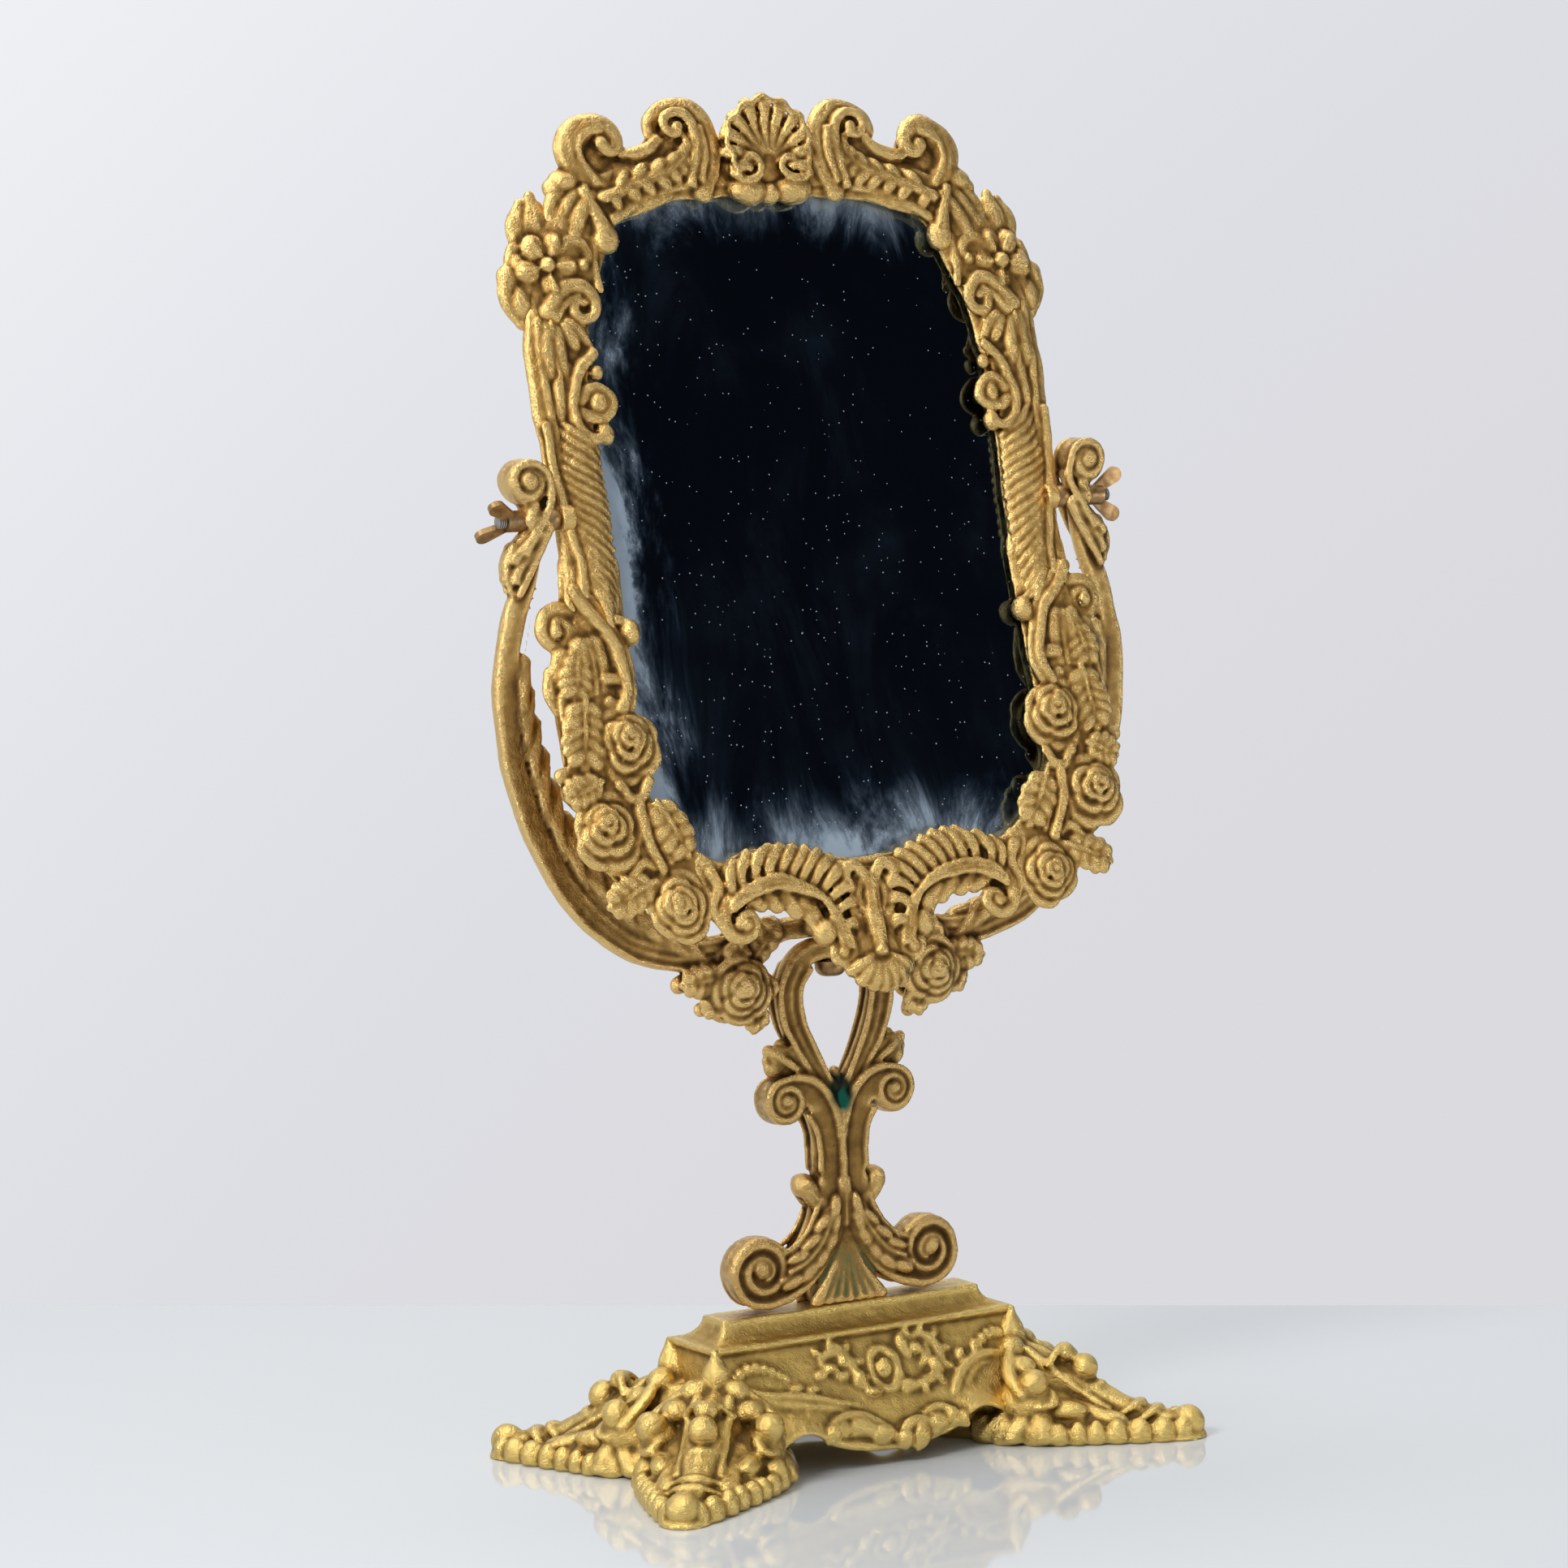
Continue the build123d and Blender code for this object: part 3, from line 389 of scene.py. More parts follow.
crest = bmesh.new()
ground(crest, 92, 130)
swept(crest, [
    [(0, 104, -1.2, 6), (20, 104.5, -1.2, 7), (40, 103.5, -1.2, 8), (58, 98, -1.4, 9), (68, 90, -1.6, 11)],
    [(28, 118, -1.2, 8), (34, 112, -1.2, 8), (44, 106, -1.2, 7)],
    [(56, 113, -2.2, 7.5), (62, 106, -2.2, 8), (64, 98, -2, 9)],
    [(60, 95.5, -0.6, 6.5), (49, 99.6, -0.2, 7.6), (39, 103.4, -0.2, 7.6), (31.5, 107.4, -0.2, 6.6),
     (28, 112, -0.4, 5)],
], 0.26)
ridged(crest, [
    [(23.5, 99.5, 0, 2.6), (20, 107, 0, 3), (19.8, 117, 0, 3.1), (23.5, 124.2, -0.2, 2.9),
     (29.5, 126.2, -0.6, 2.5), (35.5, 124.3, -1, 2.3), (38.8, 119.5, -1, 2), (38, 115.5, -0.6, 1.5)],
    [(27.5, 101.5, 2, 1.2), (25.8, 109, 2.2, 1.5), (25, 118, 2.4, 1.5), (28, 123.3, 2.6, 1.3),
     (32.5, 124, 2.6, 1.2), (35.5, 121.3, 2.6, 1.2), (34.5, 118, 2.6, 1.2), (31.6, 117.4, 2.6, 1.3),
     (31, 119.5, 2.6, 1.5)],
    [(23.8, 103, 2.4, 0.9), (22.3, 111, 2.6, 1), (22.8, 119, 2.6, 0.9)],
    [(29.5, 108, 1.6, 1.3), (28.2, 113, 2, 1.3), (29, 117, 1.6, 0.9)],
    [(49.5, 111.3, 0.2, 1.4), (45, 111.8, 0.5, 1.6), (40.5, 113.2, 0.6, 1.6), (37.5, 116, 0.6, 1.2)],
    [(57.5, 101, -0.6, 2), (63, 104.5, -0.8, 2.8), (67, 109.5, -1.2, 3.6), (66.3, 115, -1.2, 3.7),
     (62, 119, -0.8, 3.4), (57, 120.1, -0.4, 3), (52.6, 117.8, 0, 2.4), (51.8, 114.2, 0.4, 2),
     (54.4, 112, 0.8, 1.7), (56.6, 114.4, 1, 1.8)],
    [(60.5, 102.5, 1, 0.9), (64, 107.5, 1.2, 1), (65, 113, 1.4, 1), (61.5, 117.6, 1.6, 1),
     (57, 118.6, 1.6, 0.9)],
])
feathered(
    crest, [(58.5, 97.5), (48, 101.5), (38, 104.8), (31, 108.5), (27.5, 113)],
    [(0.05, -2.6, -4.4, 0.4), (0.18, -4.5, -4.2, 0.6), (0.31, -4.8, -4, 0.6), (0.44, -5, -4, 0.6),
     (0.57, -5, -4.2, 0.6), (0.7, -4.6, -4.6, 0.6), (0.84, -3.2, -5, 0.5), (0.1, -5, 6.5, 1),
     (0.26, -5.5, 6, 1), (0.42, -5.5, 5.4, 1), (0.58, -5, 5.2, 1), (0.74, -3, 5, 1)],
    0.3, 1.5, 1.5,
)
ridged(crest, [
    [(24, 101.6, 0.4, 1.1), (35, 100.4, 0.7, 1.2), (46, 96.8, 0.7, 1.2), (56, 91, 0.7, 1.3)],
    [(66.5, 100, -0.6, 1.6), (71, 95, -0.4, 2), (74.5, 88.5, -0.6, 1.8)],
    [(62.5, 98, 0.4, 1.6), (67, 92.5, 0.6, 2), (70, 86.5, 0.2, 1.8)],
    [(69.5, 102, -1.6, 2), (74.8, 97, -1.6, 2.2), (76.8, 91, -1.4, 2)],
    [(64.5, 100, 0.8, 1.3), (62.6, 94.5, 1.2, 1.5), (61, 89.5, 1.4, 2), (59.5, 85.5, 1.2, 2.6)],
])
domed(crest, [(69.8, 103.6, -2, 5.4, 4.2, 3.4, -12), (73.6, 101.2, -2.6, 3.4, 3.2, 2.8, 0),
              (59.5, 85, 0, 4.6, 5, 3.4, 20)])
mirrored(crest)
domed(crest, [(0, 114.6, 0, 15.4, 13.6, 2.5, 0), (0, 98.4, 0.4, 3.6, 3.4, 3, 0)])
domed(crest, [(side * 8, 99.6, 0.6, 6.8, 4.6, 3.8, 0) for side in (-1, 1)])
shell_hinge = 109.5
shell_runs = []
for turn, reach in [(-14, 12.5), (8, 14.2), (30, 16), (50, 17.2), (70, 18), (90, 18.4)]:
    for side in ((-1, 1) if turn < 90 else (1,)):
        across = side * math.cos(math.radians(turn))
        up = math.sin(math.radians(turn))
        shell_runs.append([
            (across * 3, shell_hinge + up * 3, 2.5, 0.6),
            (across * reach * 0.55, shell_hinge + up * reach * 0.55, 2.7, 1.05),
            (across * reach * 0.9, shell_hinge + up * reach * 0.9, 3.6, 1.6),
            (across * reach, shell_hinge + up * reach, 2.8, 1.8),
        ])
# The shell's scalloped edge.
rim = []
rim_steps = 40
for step in range(rim_steps + 1):
    turn = math.radians(-24 + 228 * step / rim_steps)
    scallop = 1 + 0.035 * math.cos(step * math.pi / 2.05)
    reach = (13.2 + 5.4 * max(0, math.sin(turn)) ** 0.8) * scallop
    rim.append((reach * math.cos(turn), shell_hinge + reach * math.sin(turn), 4.4, 0.8))
shell_runs.append(rim)
for side in (-1, 1):
    shell_runs.append([
        (side * 13.5, 104.5, 3, 1), (side * 9.5, 102.6, 3.6, 1.2), (side * 5, 104, 3.8, 1.1),
        (side * 3.6, 107.6, 3.8, 1), (side * 6.4, 110, 3.8, 1), (side * 9, 108, 3.8, 0.9),
        (side * 7.4, 106.2, 3.8, 0.9),
    ])
ridged(crest, shell_runs)
frame_crest = cast("frame_crest", crest, on_frame)
frame_crest.data.materials.append(frame_brass)
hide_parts("frame_casting")
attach(frame_crest, "mirror")

# Carved frame, shoulders. The same casting: a five-petalled flower with a bud above it, a small
# leaf and ball outside, and the volute that ends the side feather.


def level(points, out, radius, tip=0.75):
    """A run that keeps one height out and thins towards its last point."""
    last = len(points) - 1
    return [(u, v, out, radius * (1 - (1 - tip) * step / last)) for step, (u, v) in enumerate(points)]


shoulders = bmesh.new()
ground(shoulders, 56, 95)
swept(shoulders, [
    [(62, 96, -1.6, 8), (69, 87, -1.8, 12), (76, 76, -1.8, 14), (79, 60, -1.8, 11.5), (79.5, 52, -1.8, 11)],
], 0.24)
ridged(shoulders, [
    [(81.5, 84, -2.4, 2.8), (82, 91, -2.2, 3.2), (81.8, 99, -2.6, 1.5)],
    [(87, 84, -3, 2.5), (87.3, 91, -3, 2.7), (85.5, 97.5, -3.2, 1.3)],
    [(77.5, 85, -2.6, 2.2), (77.7, 91, -2.6, 2.2), (79.4, 96.5, -2.8, 1.1)],
    [(84.4, 84, -1.6, 1.3), (84.7, 90, -1.4, 1.3), (83.6, 95.5, -2, 0.9)],
    level([(76, 82), (71.5, 84.4), (67.2, 81.8), (68.2, 78), (72, 78.6)], 0.6, 1.5),
    level([(62.5, 88), (64.2, 82), (64.5, 76), (63.5, 70)], 0, 1.4),
    level([(93, 73.5), (94, 67), (90.8, 60.5)], -2, 3, 0.6),
    level([(87.5, 71), (89, 65.5), (87, 60.5)], -1, 2.2, 0.6),
    level([(82.5, 62.5), (78, 68.4), (72.2, 70.8), (67.4, 68.2), (66.6, 63.8), (69.6, 60.8), (73.4, 62),
           (73, 65.8), (70.4, 66)], 1.2, 2, 0.55),
    level([(80.5, 60), (76.5, 65.2), (71.8, 67.6)], 1.6, 0.9),
    level([(90, 82.5), (91.8, 78), (91.2, 73.5)], -1.8, 1.6),
])
flower_u, flower_v = 81, 77
petals = [
    (math.cos(math.radians(turn)), math.sin(math.radians(turn)), turn) for turn in (115, 58, 182, 342, 262)
]
domed(shoulders, [
    (flower_u + 6.6 * across, flower_v + 6.4 * up, 0.2, 4.4, 3.7, 2.1, turn) for across, up, turn in petals
])
domed(shoulders, [
    (flower_u, flower_v, 1.4, 2.5, 2.5, 2.5, 0), (89.4, 76.5, -2, 3.4, 5, 3, 0),
    (90.6, 66.4, -2, 4, 5.8, 3.2, 0), (68.8, 77.4, 0.4, 2, 2, 2, 0),
])
ridged(shoulders, [
    [(flower_u + 4 * across, flower_v + 4 * up, 2, 0.6),
     (flower_u + 8.4 * across, flower_v + 8 * up, 2.3, 0.9)]
    for across, up, _ in petals
])
mirrored(shoulders)
frame_shoulders = cast("frame_shoulders", shoulders, on_frame)
frame_shoulders.data.materials.append(frame_brass)
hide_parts("frame_casting")
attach(frame_shoulders, "mirror")

# Carved frame, sides. A long feather hangs down each side between a plain outer band and an S
# scroll; its barbs sweep inwards and end in a scalloped edge over the glass.
sides = bmesh.new()
ground(sides, -26, 60)
swept(sides, [
    level([(79.5, 66), (79.5, 45), (79.8, 20), (79.8, 0), (79.6, -22), (81, -36)], -1.8, 9.8, 1.0),
], 0.24)
ridged(sides, [
    level([(86.8, 62), (88.2, 50), (88, 35), (87, 20), (86, 5), (85.6, -10), (86.4, -26)], -1.2, 2.7, 1),
    level([(86.6, 60), (87, 47), (86.6, 32), (85.4, 17), (83.6, 1), (82, -12), (81.5, -22)], 0.9, 1, 1),
    level([(76, 58.5), (72.3, 55), (69.8, 51.6)], 0.4, 2, 0.5),
    level([(69.6, 49.6), (74.6, 45), (77.6, 38), (78.3, 31), (76.6, 26), (72.6, 23.4), (69, 24.6)],
          1.6, 1.4, 0.9),
    level([(75.6, 35.6), (72, 38.6), (67.8, 38), (65.4, 34.4), (67.4, 31), (72, 30.2), (76, 31.6)],
          0.8, 1.6, 1),
    level([(82.4, 60), (82.6, 50), (81.8, 42), (82.6, 33)], 1.8, 0.5, 0.8),
    level([(78, 46), (79.6, 40), (80, 33), (78.6, 26), (75.4, 20)], 1, 0.9, 0.8),
    level([(89, 28), (88, 15), (86.4, 3), (84.6, -8), (83, -16), (83.8, -24)], 1.4, 1.2, 1),
    level([(87.4, -2), (86.4, -12), (85.4, -20)], 0, 1.3),
])
# A barb every 3 mm down the feather: its belly, its droop and its inner end follow the feather's outline.
barbs = []
barb_count, top_barb, barb_pitch = 17, 30, 3
for count in range(barb_count):
    v = top_barb - barb_pitch * count
    mid = np.interp(v, [-18, -9, 4, 17, 30], [82.6, 83.3, 85.6, 86.8, 84])
    drop = np.interp(v, [-18, -9, 4, 17, 30], [7.6, 5.4, 2.4, 0.8, 0])
    edge = 71.9 + np.interp(v, [-18, -13, -9, 4, 30], [4, 2.1, 0.9, -0.3, 0.4])
    barbs.append([
        (mid, v, 0.6, 0.6), (mid - 3.2, v - 3.4 - drop * 0.3, 1.6, 0.95),
        (76.6, v - 7 - drop * 0.7, 1.7, 1.1), (edge, v - 10.2 - drop, -0.3, 1.25),
    ])
ridged(sides, barbs)
domed(sides, [
    (84.6, 51, 0.6, 9.5, 2.6, 2, 92), (80.4, 50.5, 0.8, 8.4, 2.4, 2, 86), (76.6, 55, 0.6, 5, 2.4, 1.8, 60),
    (82.6, 38, 0.4, 10, 2.4, 1.8, 96),
])
domed(sides, [(68.6, 44, 0.2, 2.2, 2.6, 2, 0), (68.6, 25, 0.2, 3, 3.5, 2.5, 0),
              (70, 34.4, 0.6, 3, 3.4, 2.2, 0)])
mirrored(sides)
frame_sides = cast("frame_sides", sides, on_frame)
frame_sides.data.materials.append(frame_brass)
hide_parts("frame_casting")
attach(frame_sides, "mirror")

# Carved frame, lower corners. Three full-blown roses on a twig with broad leaves between them,
# a scroll that curls out at the side, and fine chasing left from the file.


def broad_leaf(into, root, tip, half_width, out, lobes=4):
    """Adds a broad leaf: overlapping lobes on each side of a midrib, with its veins between them."""
    lobe_turn = 52
    along = Vector((tip[0] - root[0], tip[1] - root[1]))
    side = Vector((-along.y, along.x)).normalized()
    turn = math.degrees(math.atan2(along.y, along.x))
    places = []
    for flank in (-1, 1):
        for step in range(lobes):
            share = (step + 0.5) / lobes
            reach = half_width * math.sin(math.pi * (0.14 + 0.76 * share)) ** 0.7
            spot = Vector(root) + along * (0.1 + 0.8 * share) + side * flank * reach * 0.5
            long, wide = reach * 0.56 + 1.1, along.length / lobes * 0.6
            places.append((spot.x, spot.y, out + 0.7, long, wide, 1.5, turn + flank * lobe_turn))
    end = (tip[0] - along.x * 0.1, tip[1] - along.y * 0.1)
    places.append((*end, out + 0.4, along.length * 0.14, half_width * 0.3, 1.2, turn))
    domed(into, places)
    middle = Vector(root) + along * 0.55
    ridged(into, [[(*root, out + 1.7, 0.7), (*middle, out + 1.8, 0.45), (*tip, out + 0.8, 0.3)]])


corners = bmesh.new()
ground(corners, -130, -22, nearest=48)
swept(corners, [
    level([(79.6, -16), (81, -34), (84, -55)], -1.8, 11, 1.15),
    level([(84, -55), (84.2, -75), (81, -92), (74, -105), (64, -113)], -1.8, 13, 0.8),
], 0.24)
ridged(corners, [
    level([(87.4, -22), (83, -29), (77.4, -36), (74.6, -44), (74, -52), (76.6, -58)], 1.6, 1.6, 0.9),
    level([(84.6, -22), (79, -30), (74.4, -37), (72, -45), (71.6, -53)], 0.6, 1.6, 0.9),
    level([(78.4, -31), (73, -31.4), (69.4, -34.2)], 0.8, 1.4),
    [(86, -29, -0.6, 1.3), (90, -27.4, -0.8, 1.8), (94.6, -27.6, -1, 2.1), (97.6, -31, -1.2, 2.1),
     (96.8, -36, -1.2, 2), (93, -37.8, -1, 1.7), (89.6, -35, -0.6, 1.5), (90.4, -31.4, -0.2, 1.3),
     (93.4, -31, 0.2, 1.2), (94, -33.4, 0.6, 1.5)],
    level([(93, -41), (94.8, -47), (91.5, -54)], -0.8, 2.6, 0.6),
    level([(87.6, -39), (86.8, -46), (86.5, -53)], 0.4, 2.6, 0.6),
    level([(82, -38), (80.6, -45), (81.8, -52.5)], 0.2, 2.2, 0.7),
    level([(96.6, -46), (97.6, -53), (95.4, -58)], -1.6, 2, 0.7),
    level([(90.4, -40), (91, -47), (88.8, -54.5)], 1.2, 1, 0.7),
    level([(84.8, -37.5), (83.8, -45), (84.2, -53)], 1.2, 0.9, 0.7),
    level([(80.4, -49), (75.2, -49.8), (72.4, -54), (76, -58.4), (80.2, -56)], 0.8, 1.7, 0.8),
    level([(98.6, -76.6), (93, -75.4), (88.2, -76.6)], -0.6, 1.7, 0.8),
    level([(96.5, -82), (92, -86.6), (87.5, -86)], -1.4, 1.8, 0.7),
    level([(80.4, -80.5), (75, -85.6), (70.6, -80.6)], 1.4, 1.3, 0.9),
    level([(74.8, -85.4), (74, -96), (70, -107)], 1.5, 1.4, 0.9),
    level([(77.8, -86.5), (77.4, -95), (74.4, -104)], 0.4, 1.1, 0.9),
    level([(71.4, -88), (70.8, -96), (66.6, -104.5)], 0.8, 1, 0.9),
    level([(84.5, -104.5), (79, -106), (74.5, -109.5)], -0.4, 2, 0.7),
    level([(79.5, -107.8), (76, -104.5), (72.5, -106)], 0.8, 1.3, 0.8),
])
domed(corners, [
    (69.8, -35.4, 0.2, 3.6, 4.2, 3.2, 0), (93.8, -81, -1.4, 5.2, 4, 2.8, 0), (78.6, -85, -0.2, 3, 2.6, 2, 0),
    (74.5, -53.8, 0, 3, 3.4, 2.4, 0), (83, -30, -0.6, 5, 6, 2.2, 0),
])
broad_leaf(corners, (88, -54), (91.4, -76), 7.6, 0.1, 5)
broad_leaf(corners, (69.5, -86.5), (60.5, -104), 6, 0.5)
broad_leaf(corners, (73.5, -110), (89.5, -117), 5.4, 0)
broad_leaf(corners, (86.6, -79), (98, -84), 5, 0.1)
broad_leaf(corners, (88.6, -40), (91.6, -55), 5.4, 0.1)
rosette(corners, (76.3, -70), 10.6, -0.4, 4.2, (75.8, -66.2))
rosette(corners, (85.3, -95), 10.8, -0.4, 4.2, (88, -91.7), turn=50)
rosette(corners, (64.9, -118.3), 10.4, -0.6, 4.2, (66.9, -117.4), turn=-15)
mirrored(corners)
frame_corners = cast("frame_corners", corners, on_frame, 0.48)
frame_corners.data.materials.append(frame_brass)
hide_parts("frame_casting")
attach(frame_corners, "mirror")

# Carved frame, foot. Two arched acanthus sprays meet over a rod that ends in a hanging shell;
# small balls and curls fill the corners under the arches.
foot = bmesh.new()
ground(foot, -130, -90, farthest=53)
swept(foot, [
    level([(64, -113), (50, -113.5), (35, -109.8), (18, -113), (0, -114.5)], -1.6, 8.6, 0.72),
    level([(20, -116), (13, -124), (9, -134)], -1.6, 7, 0.9),
    level([(52, -117), (47, -124)], -1.6, 6, 0.9),
], 0.24)
sprays = [
    [(47.5, -118), (48.4, -111), (46, -107)], [(43.8, -117), (44.4, -110), (41, -105)],
    [(39.6, -115), (37.8, -106.6), (33.4, -103.4)], [(36, -115), (33.4, -107), (29.6, -103.4)],
    [(32.2, -115), (29, -107.4), (25.4, -103.8)], [(28.8, -115.4), (25, -108.4), (21, -105)],
    [(25.2, -117), (20.8, -109.6), (16.4, -106.4)], [(21.8, -118.6), (17, -111.4), (12.4, -108.4)],
    [(19, -120), (12.8, -113.6), (8.6, -111)], [(16.6, -122), (10.4, -117.4), (6.4, -116)],
    [(14.6, -125.6), (9.6, -122.2), (6, -121.4)], [(13, -130.4), (9, -128), (6.4, -129)],
]
ridged(foot, [
    [(*root, 0.8, 1.0), (*belly, 2.2, 1.35), (*tip, 0.6, 1.65)] for root, belly, tip in sprays
])
# Three strands of the arch, side by side: each point moves by its own share of the offset.
for offset, radius in [(0, 0.95), (1.5, 0.85), (-1.5, 0.85)]:
    ridged(foot, [[
        (u + offset * across, v + offset * up, out, radius) for u, v, out, across, up in [
            (48.6, -119.6, 2.4, 0, 0.7), (43.8, -116.2, 2.6, 0, 1), (37, -114.2, 2.8, 0, 1),
            (30, -114.3, 2.8, 0, 1), (23.4, -116.4, 2.8, 0.3, 0.9), (17.6, -120.2, 2.6, 0.6, 0.7),
            (13.8, -125, 2.4, 0.9, 0.4), (11.8, -130.5, 2.2, 1, 0), (11, -135, 2, 1, 0),
        ]
    ]])
ridged(foot, [
    level([(49.4, -118), (51.4, -124), (47.6, -129.4), (43, -128.4), (41.8, -124.8), (44.6, -122.8),
           (46.6, -125.4)], 0.8, 1.8, 0.8),
    level([(54, -109), (52.4, -114), (54.4, -119), (52.6, -124)], 0.6, 1.7, 0.8),
    level([(57.5, -108), (56.6, -113), (57.6, -118)], 0, 1.4, 0.8),
    level([(43.4, -115.6), (39.4, -119), (38, -120)], 0.2, 2.6, 0.8),
    level([(36.4, -116.4), (33.6, -119.4), (32.4, -120.6)], 0.2, 2.6, 0.8),
    level([(30, -117.4), (26.8, -121), (25.8, -122.6)], 0.2, 2.5, 0.8),
    level([(24, -120.2), (20.4, -125), (19, -129)], 0.2, 2.4, 0.8),
    level([(12.6, -129), (8.8, -133.4), (9.4, -138.2), (13.6, -139.4), (15.6, -136.4), (13, -134.6)],
          0.8, 1.6, 0.9),
    level([(4.4, -119), (6.6, -124), (4.2, -129), (6.4, -134)], 0.8, 1.3, 0.8),
    level([(0.6, -118), (2.6, -113.2), (5.6, -110.8), (8.6, -113.4), (7.4, -117)], 1.8, 1.5, 0.9),
    level([(3, -116), (4.8, -120), (3, -124)], 1.4, 1.1, 0.9),
])
domed(foot, [
    (17.4, -130, 0, 4.3, 4.4, 3.6, 0), (12.6, -136.6, 0.4, 2.6, 2.6, 2.4, 0),
    (45, -125.6, 0.6, 2.2, 2.2, 2.2, 0), (8.4, -137, -0.6, 4, 4.4, 2, 0), (55, -106.5, -0.6, 5, 3.4, 2, 20),
])
mirrored(foot)
hanging_hinge = -137.4
fan = []
for turn, reach in [(-90, 10.6), (-70, 10.8), (-110, 10.8), (-49, 11), (-131, 11), (-27, 11), (-153, 11)]:
    across, up = math.cos(math.radians(turn)), math.sin(math.radians(turn))
    fan.append([
        (away * across, hanging_hinge + away * up, out, radius)
        for away, out, radius in [(2.4, 2.4, 0.8), (7, 3, 1.25), (reach, 0.6, 1.8)]
    ])
ridged(foot, [
    [(0, -116, 1.4, 2.2), (0, -126, 1.8, 2.3), (0, -137, 2, 2)],
    [(0, -119, 3, 0.7), (0, -135, 3.4, 0.7)],
] + fan)
domed(foot, [(0, -138.4, 0.4, 9.4, 9, 2.4, 0), (0, -137.4, 2.6, 2.4, 2, 1.8, 0)])
frame_foot = cast("frame_foot", foot, on_frame)
frame_foot.data.materials.append(frame_brass)
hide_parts("frame_casting")
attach(frame_foot, "mirror")

# Carved frame, back. A plain cast wall stands up round the glass and its board, with a small
# boss for each clip screw and a round lug for each pivot stud.
wall_side, wall_top, wall_bottom = 79.7, 106.7, -116.7
wall_root, wall_height, wall_thickness = -3.6, 6.9, 3.2
boss_radius, boss_depth = 3.4, 7
lug_radius, lug_length, lug_middle = 4.3, 4.4, 86.2
tray = bmesh.new()
outline = [tray.verts.new((u / 1000, v / 1000, wall_root / 1000)) for u, v in [
    (-wall_side, wall_bottom), (wall_side, wall_bottom), (wall_side, wall_top), (-wall_side, wall_top)]]
tray.faces.new(outline)
for pair, reach in [(outline[:2], 23.7), (outline[2:], 33.7)]:
    bmesh.ops.bevel(
        tray, geom=pair, offset=reach / 1000, segments=10, profile=0.5, affect="VERTICES", material=-1,
    )
bmesh.ops.inset_region(
    tray, faces=tray.faces[:], thickness=wall_thickness / 1000, use_even_offset=True, use_boundary=True,
)
bmesh.ops.delete(tray, geom=[max(tray.faces, key=lambda face: face.calc_area())], context="FACES")
raised = bmesh.ops.extrude_face_region(tray, geom=tray.faces[:])["geom"]
bmesh.ops.translate(
    tray, vec=(0, 0, -wall_height / 1000), verts=[g for g in raised if isinstance(g, bmesh.types.BMVert)],
)
bmesh.ops.recalc_face_normals(tray, faces=tray.faces[:])
for u, v in [(0, 106.9), (0, -116.9), (79.9, 48), (-79.9, 48), (79.9, -52), (-79.9, -52)]:
    bmesh.ops.create_cone(
        tray, cap_ends=True, segments=24, radius1=boss_radius / 1000, radius2=boss_radius / 1000,
        depth=boss_depth / 1000, matrix=Matrix.Translation((u / 1000, v / 1000, -boss_depth / 1000)),
    )
for side in (-1, 1):
    at_lug = Matrix.Translation((side * lug_middle / 1000, 0, 0))
    bmesh.ops.create_cone(
        tray, cap_ends=True, segments=32, radius1=lug_radius / 1000, radius2=lug_radius / 1000,
        depth=lug_length / 1000, matrix=at_lug @ Matrix.Rotation(math.radians(90), 4, "Y"),
    )
frame_tray = cast("frame_tray", tray, on_frame, 0.55, 1, 0)
frame_tray.data.materials.append(frame_brass)
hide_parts("frame_casting")
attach(frame_tray, "mirror")

# Stem. Cast brass, filed flat on its faces: two pairs of C scrolls back to back with a raised edge,
# an open loop above, a fluted fan at the foot. It is screwed to the base from below.
on_stand = Matrix(((1, 0, 0, 0), (0, 0, -1, 0), (0, 1, 0, 0), (0, 0, 0, 1)))
# Old verdigris sits where the stem forks, dark round a bright heart; damp has dulled the grooves below.
verdigris = ("#17302C", (0, -0.003, 0.1120), (0.0044, 0.02, 0.0064), False)
verdigris_heart = ("#2F7F6C", (0.0008, -0.004, 0.1095), (0.0017, 0.02, 0.0036), False)
damp = ("#86875A", (0, -0.003, 0.054), (0.012, 0.02, 0.010), True)
stand_brass = cast_brass(
    "cast_brass_stand", "#D2AE6D", "#97763F", "#6C4F2C", "#3F2E19", 0.26, [verdigris, verdigris_heart, damp],
)


def spiral(eye, start_radius, end_radius, start_angle, turns, out, thickness):
    """A run that winds into a scroll's eye; negative turns wind clockwise."""
    count = int(abs(turns) * 10)
    run = []
    for step in range(count + 1):
        share = step / count
        radius = start_radius + (end_radius - start_radius) * share
        angle = math.radians(start_angle + 360 * turns * share)
        run.append((eye[0] + radius * math.cos(angle), eye[1] + radius * math.sin(angle), out, thickness))
    return run


def beside(path, distance):
    """The same path, moved to its left by a distance."""
    moved = []
    for step, (u, v) in enumerate(path):
        before = path[max(step - 1, 0)]
        after = path[min(step + 1, len(path) - 1)]
        along = Vector((after[0] - before[0], after[1] - before[1])).normalized()
        moved.append((u - along.y * distance, v + along.x * distance))
    return moved


def joined(into, shape):
    """Adds a whole shape to another and frees it."""
    rough = bpy.data.meshes.new("rough")
    shape.to_mesh(rough)
    shape.free()
    into.from_mesh(rough)
    bpy.data.meshes.remove(rough)


def filed(into, runs, face, flatness=1.3):
    """Adds a thick bar whose front and back are filed flat at a distance from the middle plane."""
    bar = bmesh.new()
    swept(bar, runs, flatness)
    for vert in bar.verts:
        vert.co.z = max(-face / 1000, min(face / 1000, vert.co.z))
    joined(into, bar)


def both_faces(runs):
    """The same raised lines on the front and on the back."""
    return runs + [[(u, v, -out, radius) for u, v, out, radius in run] for run in runs]


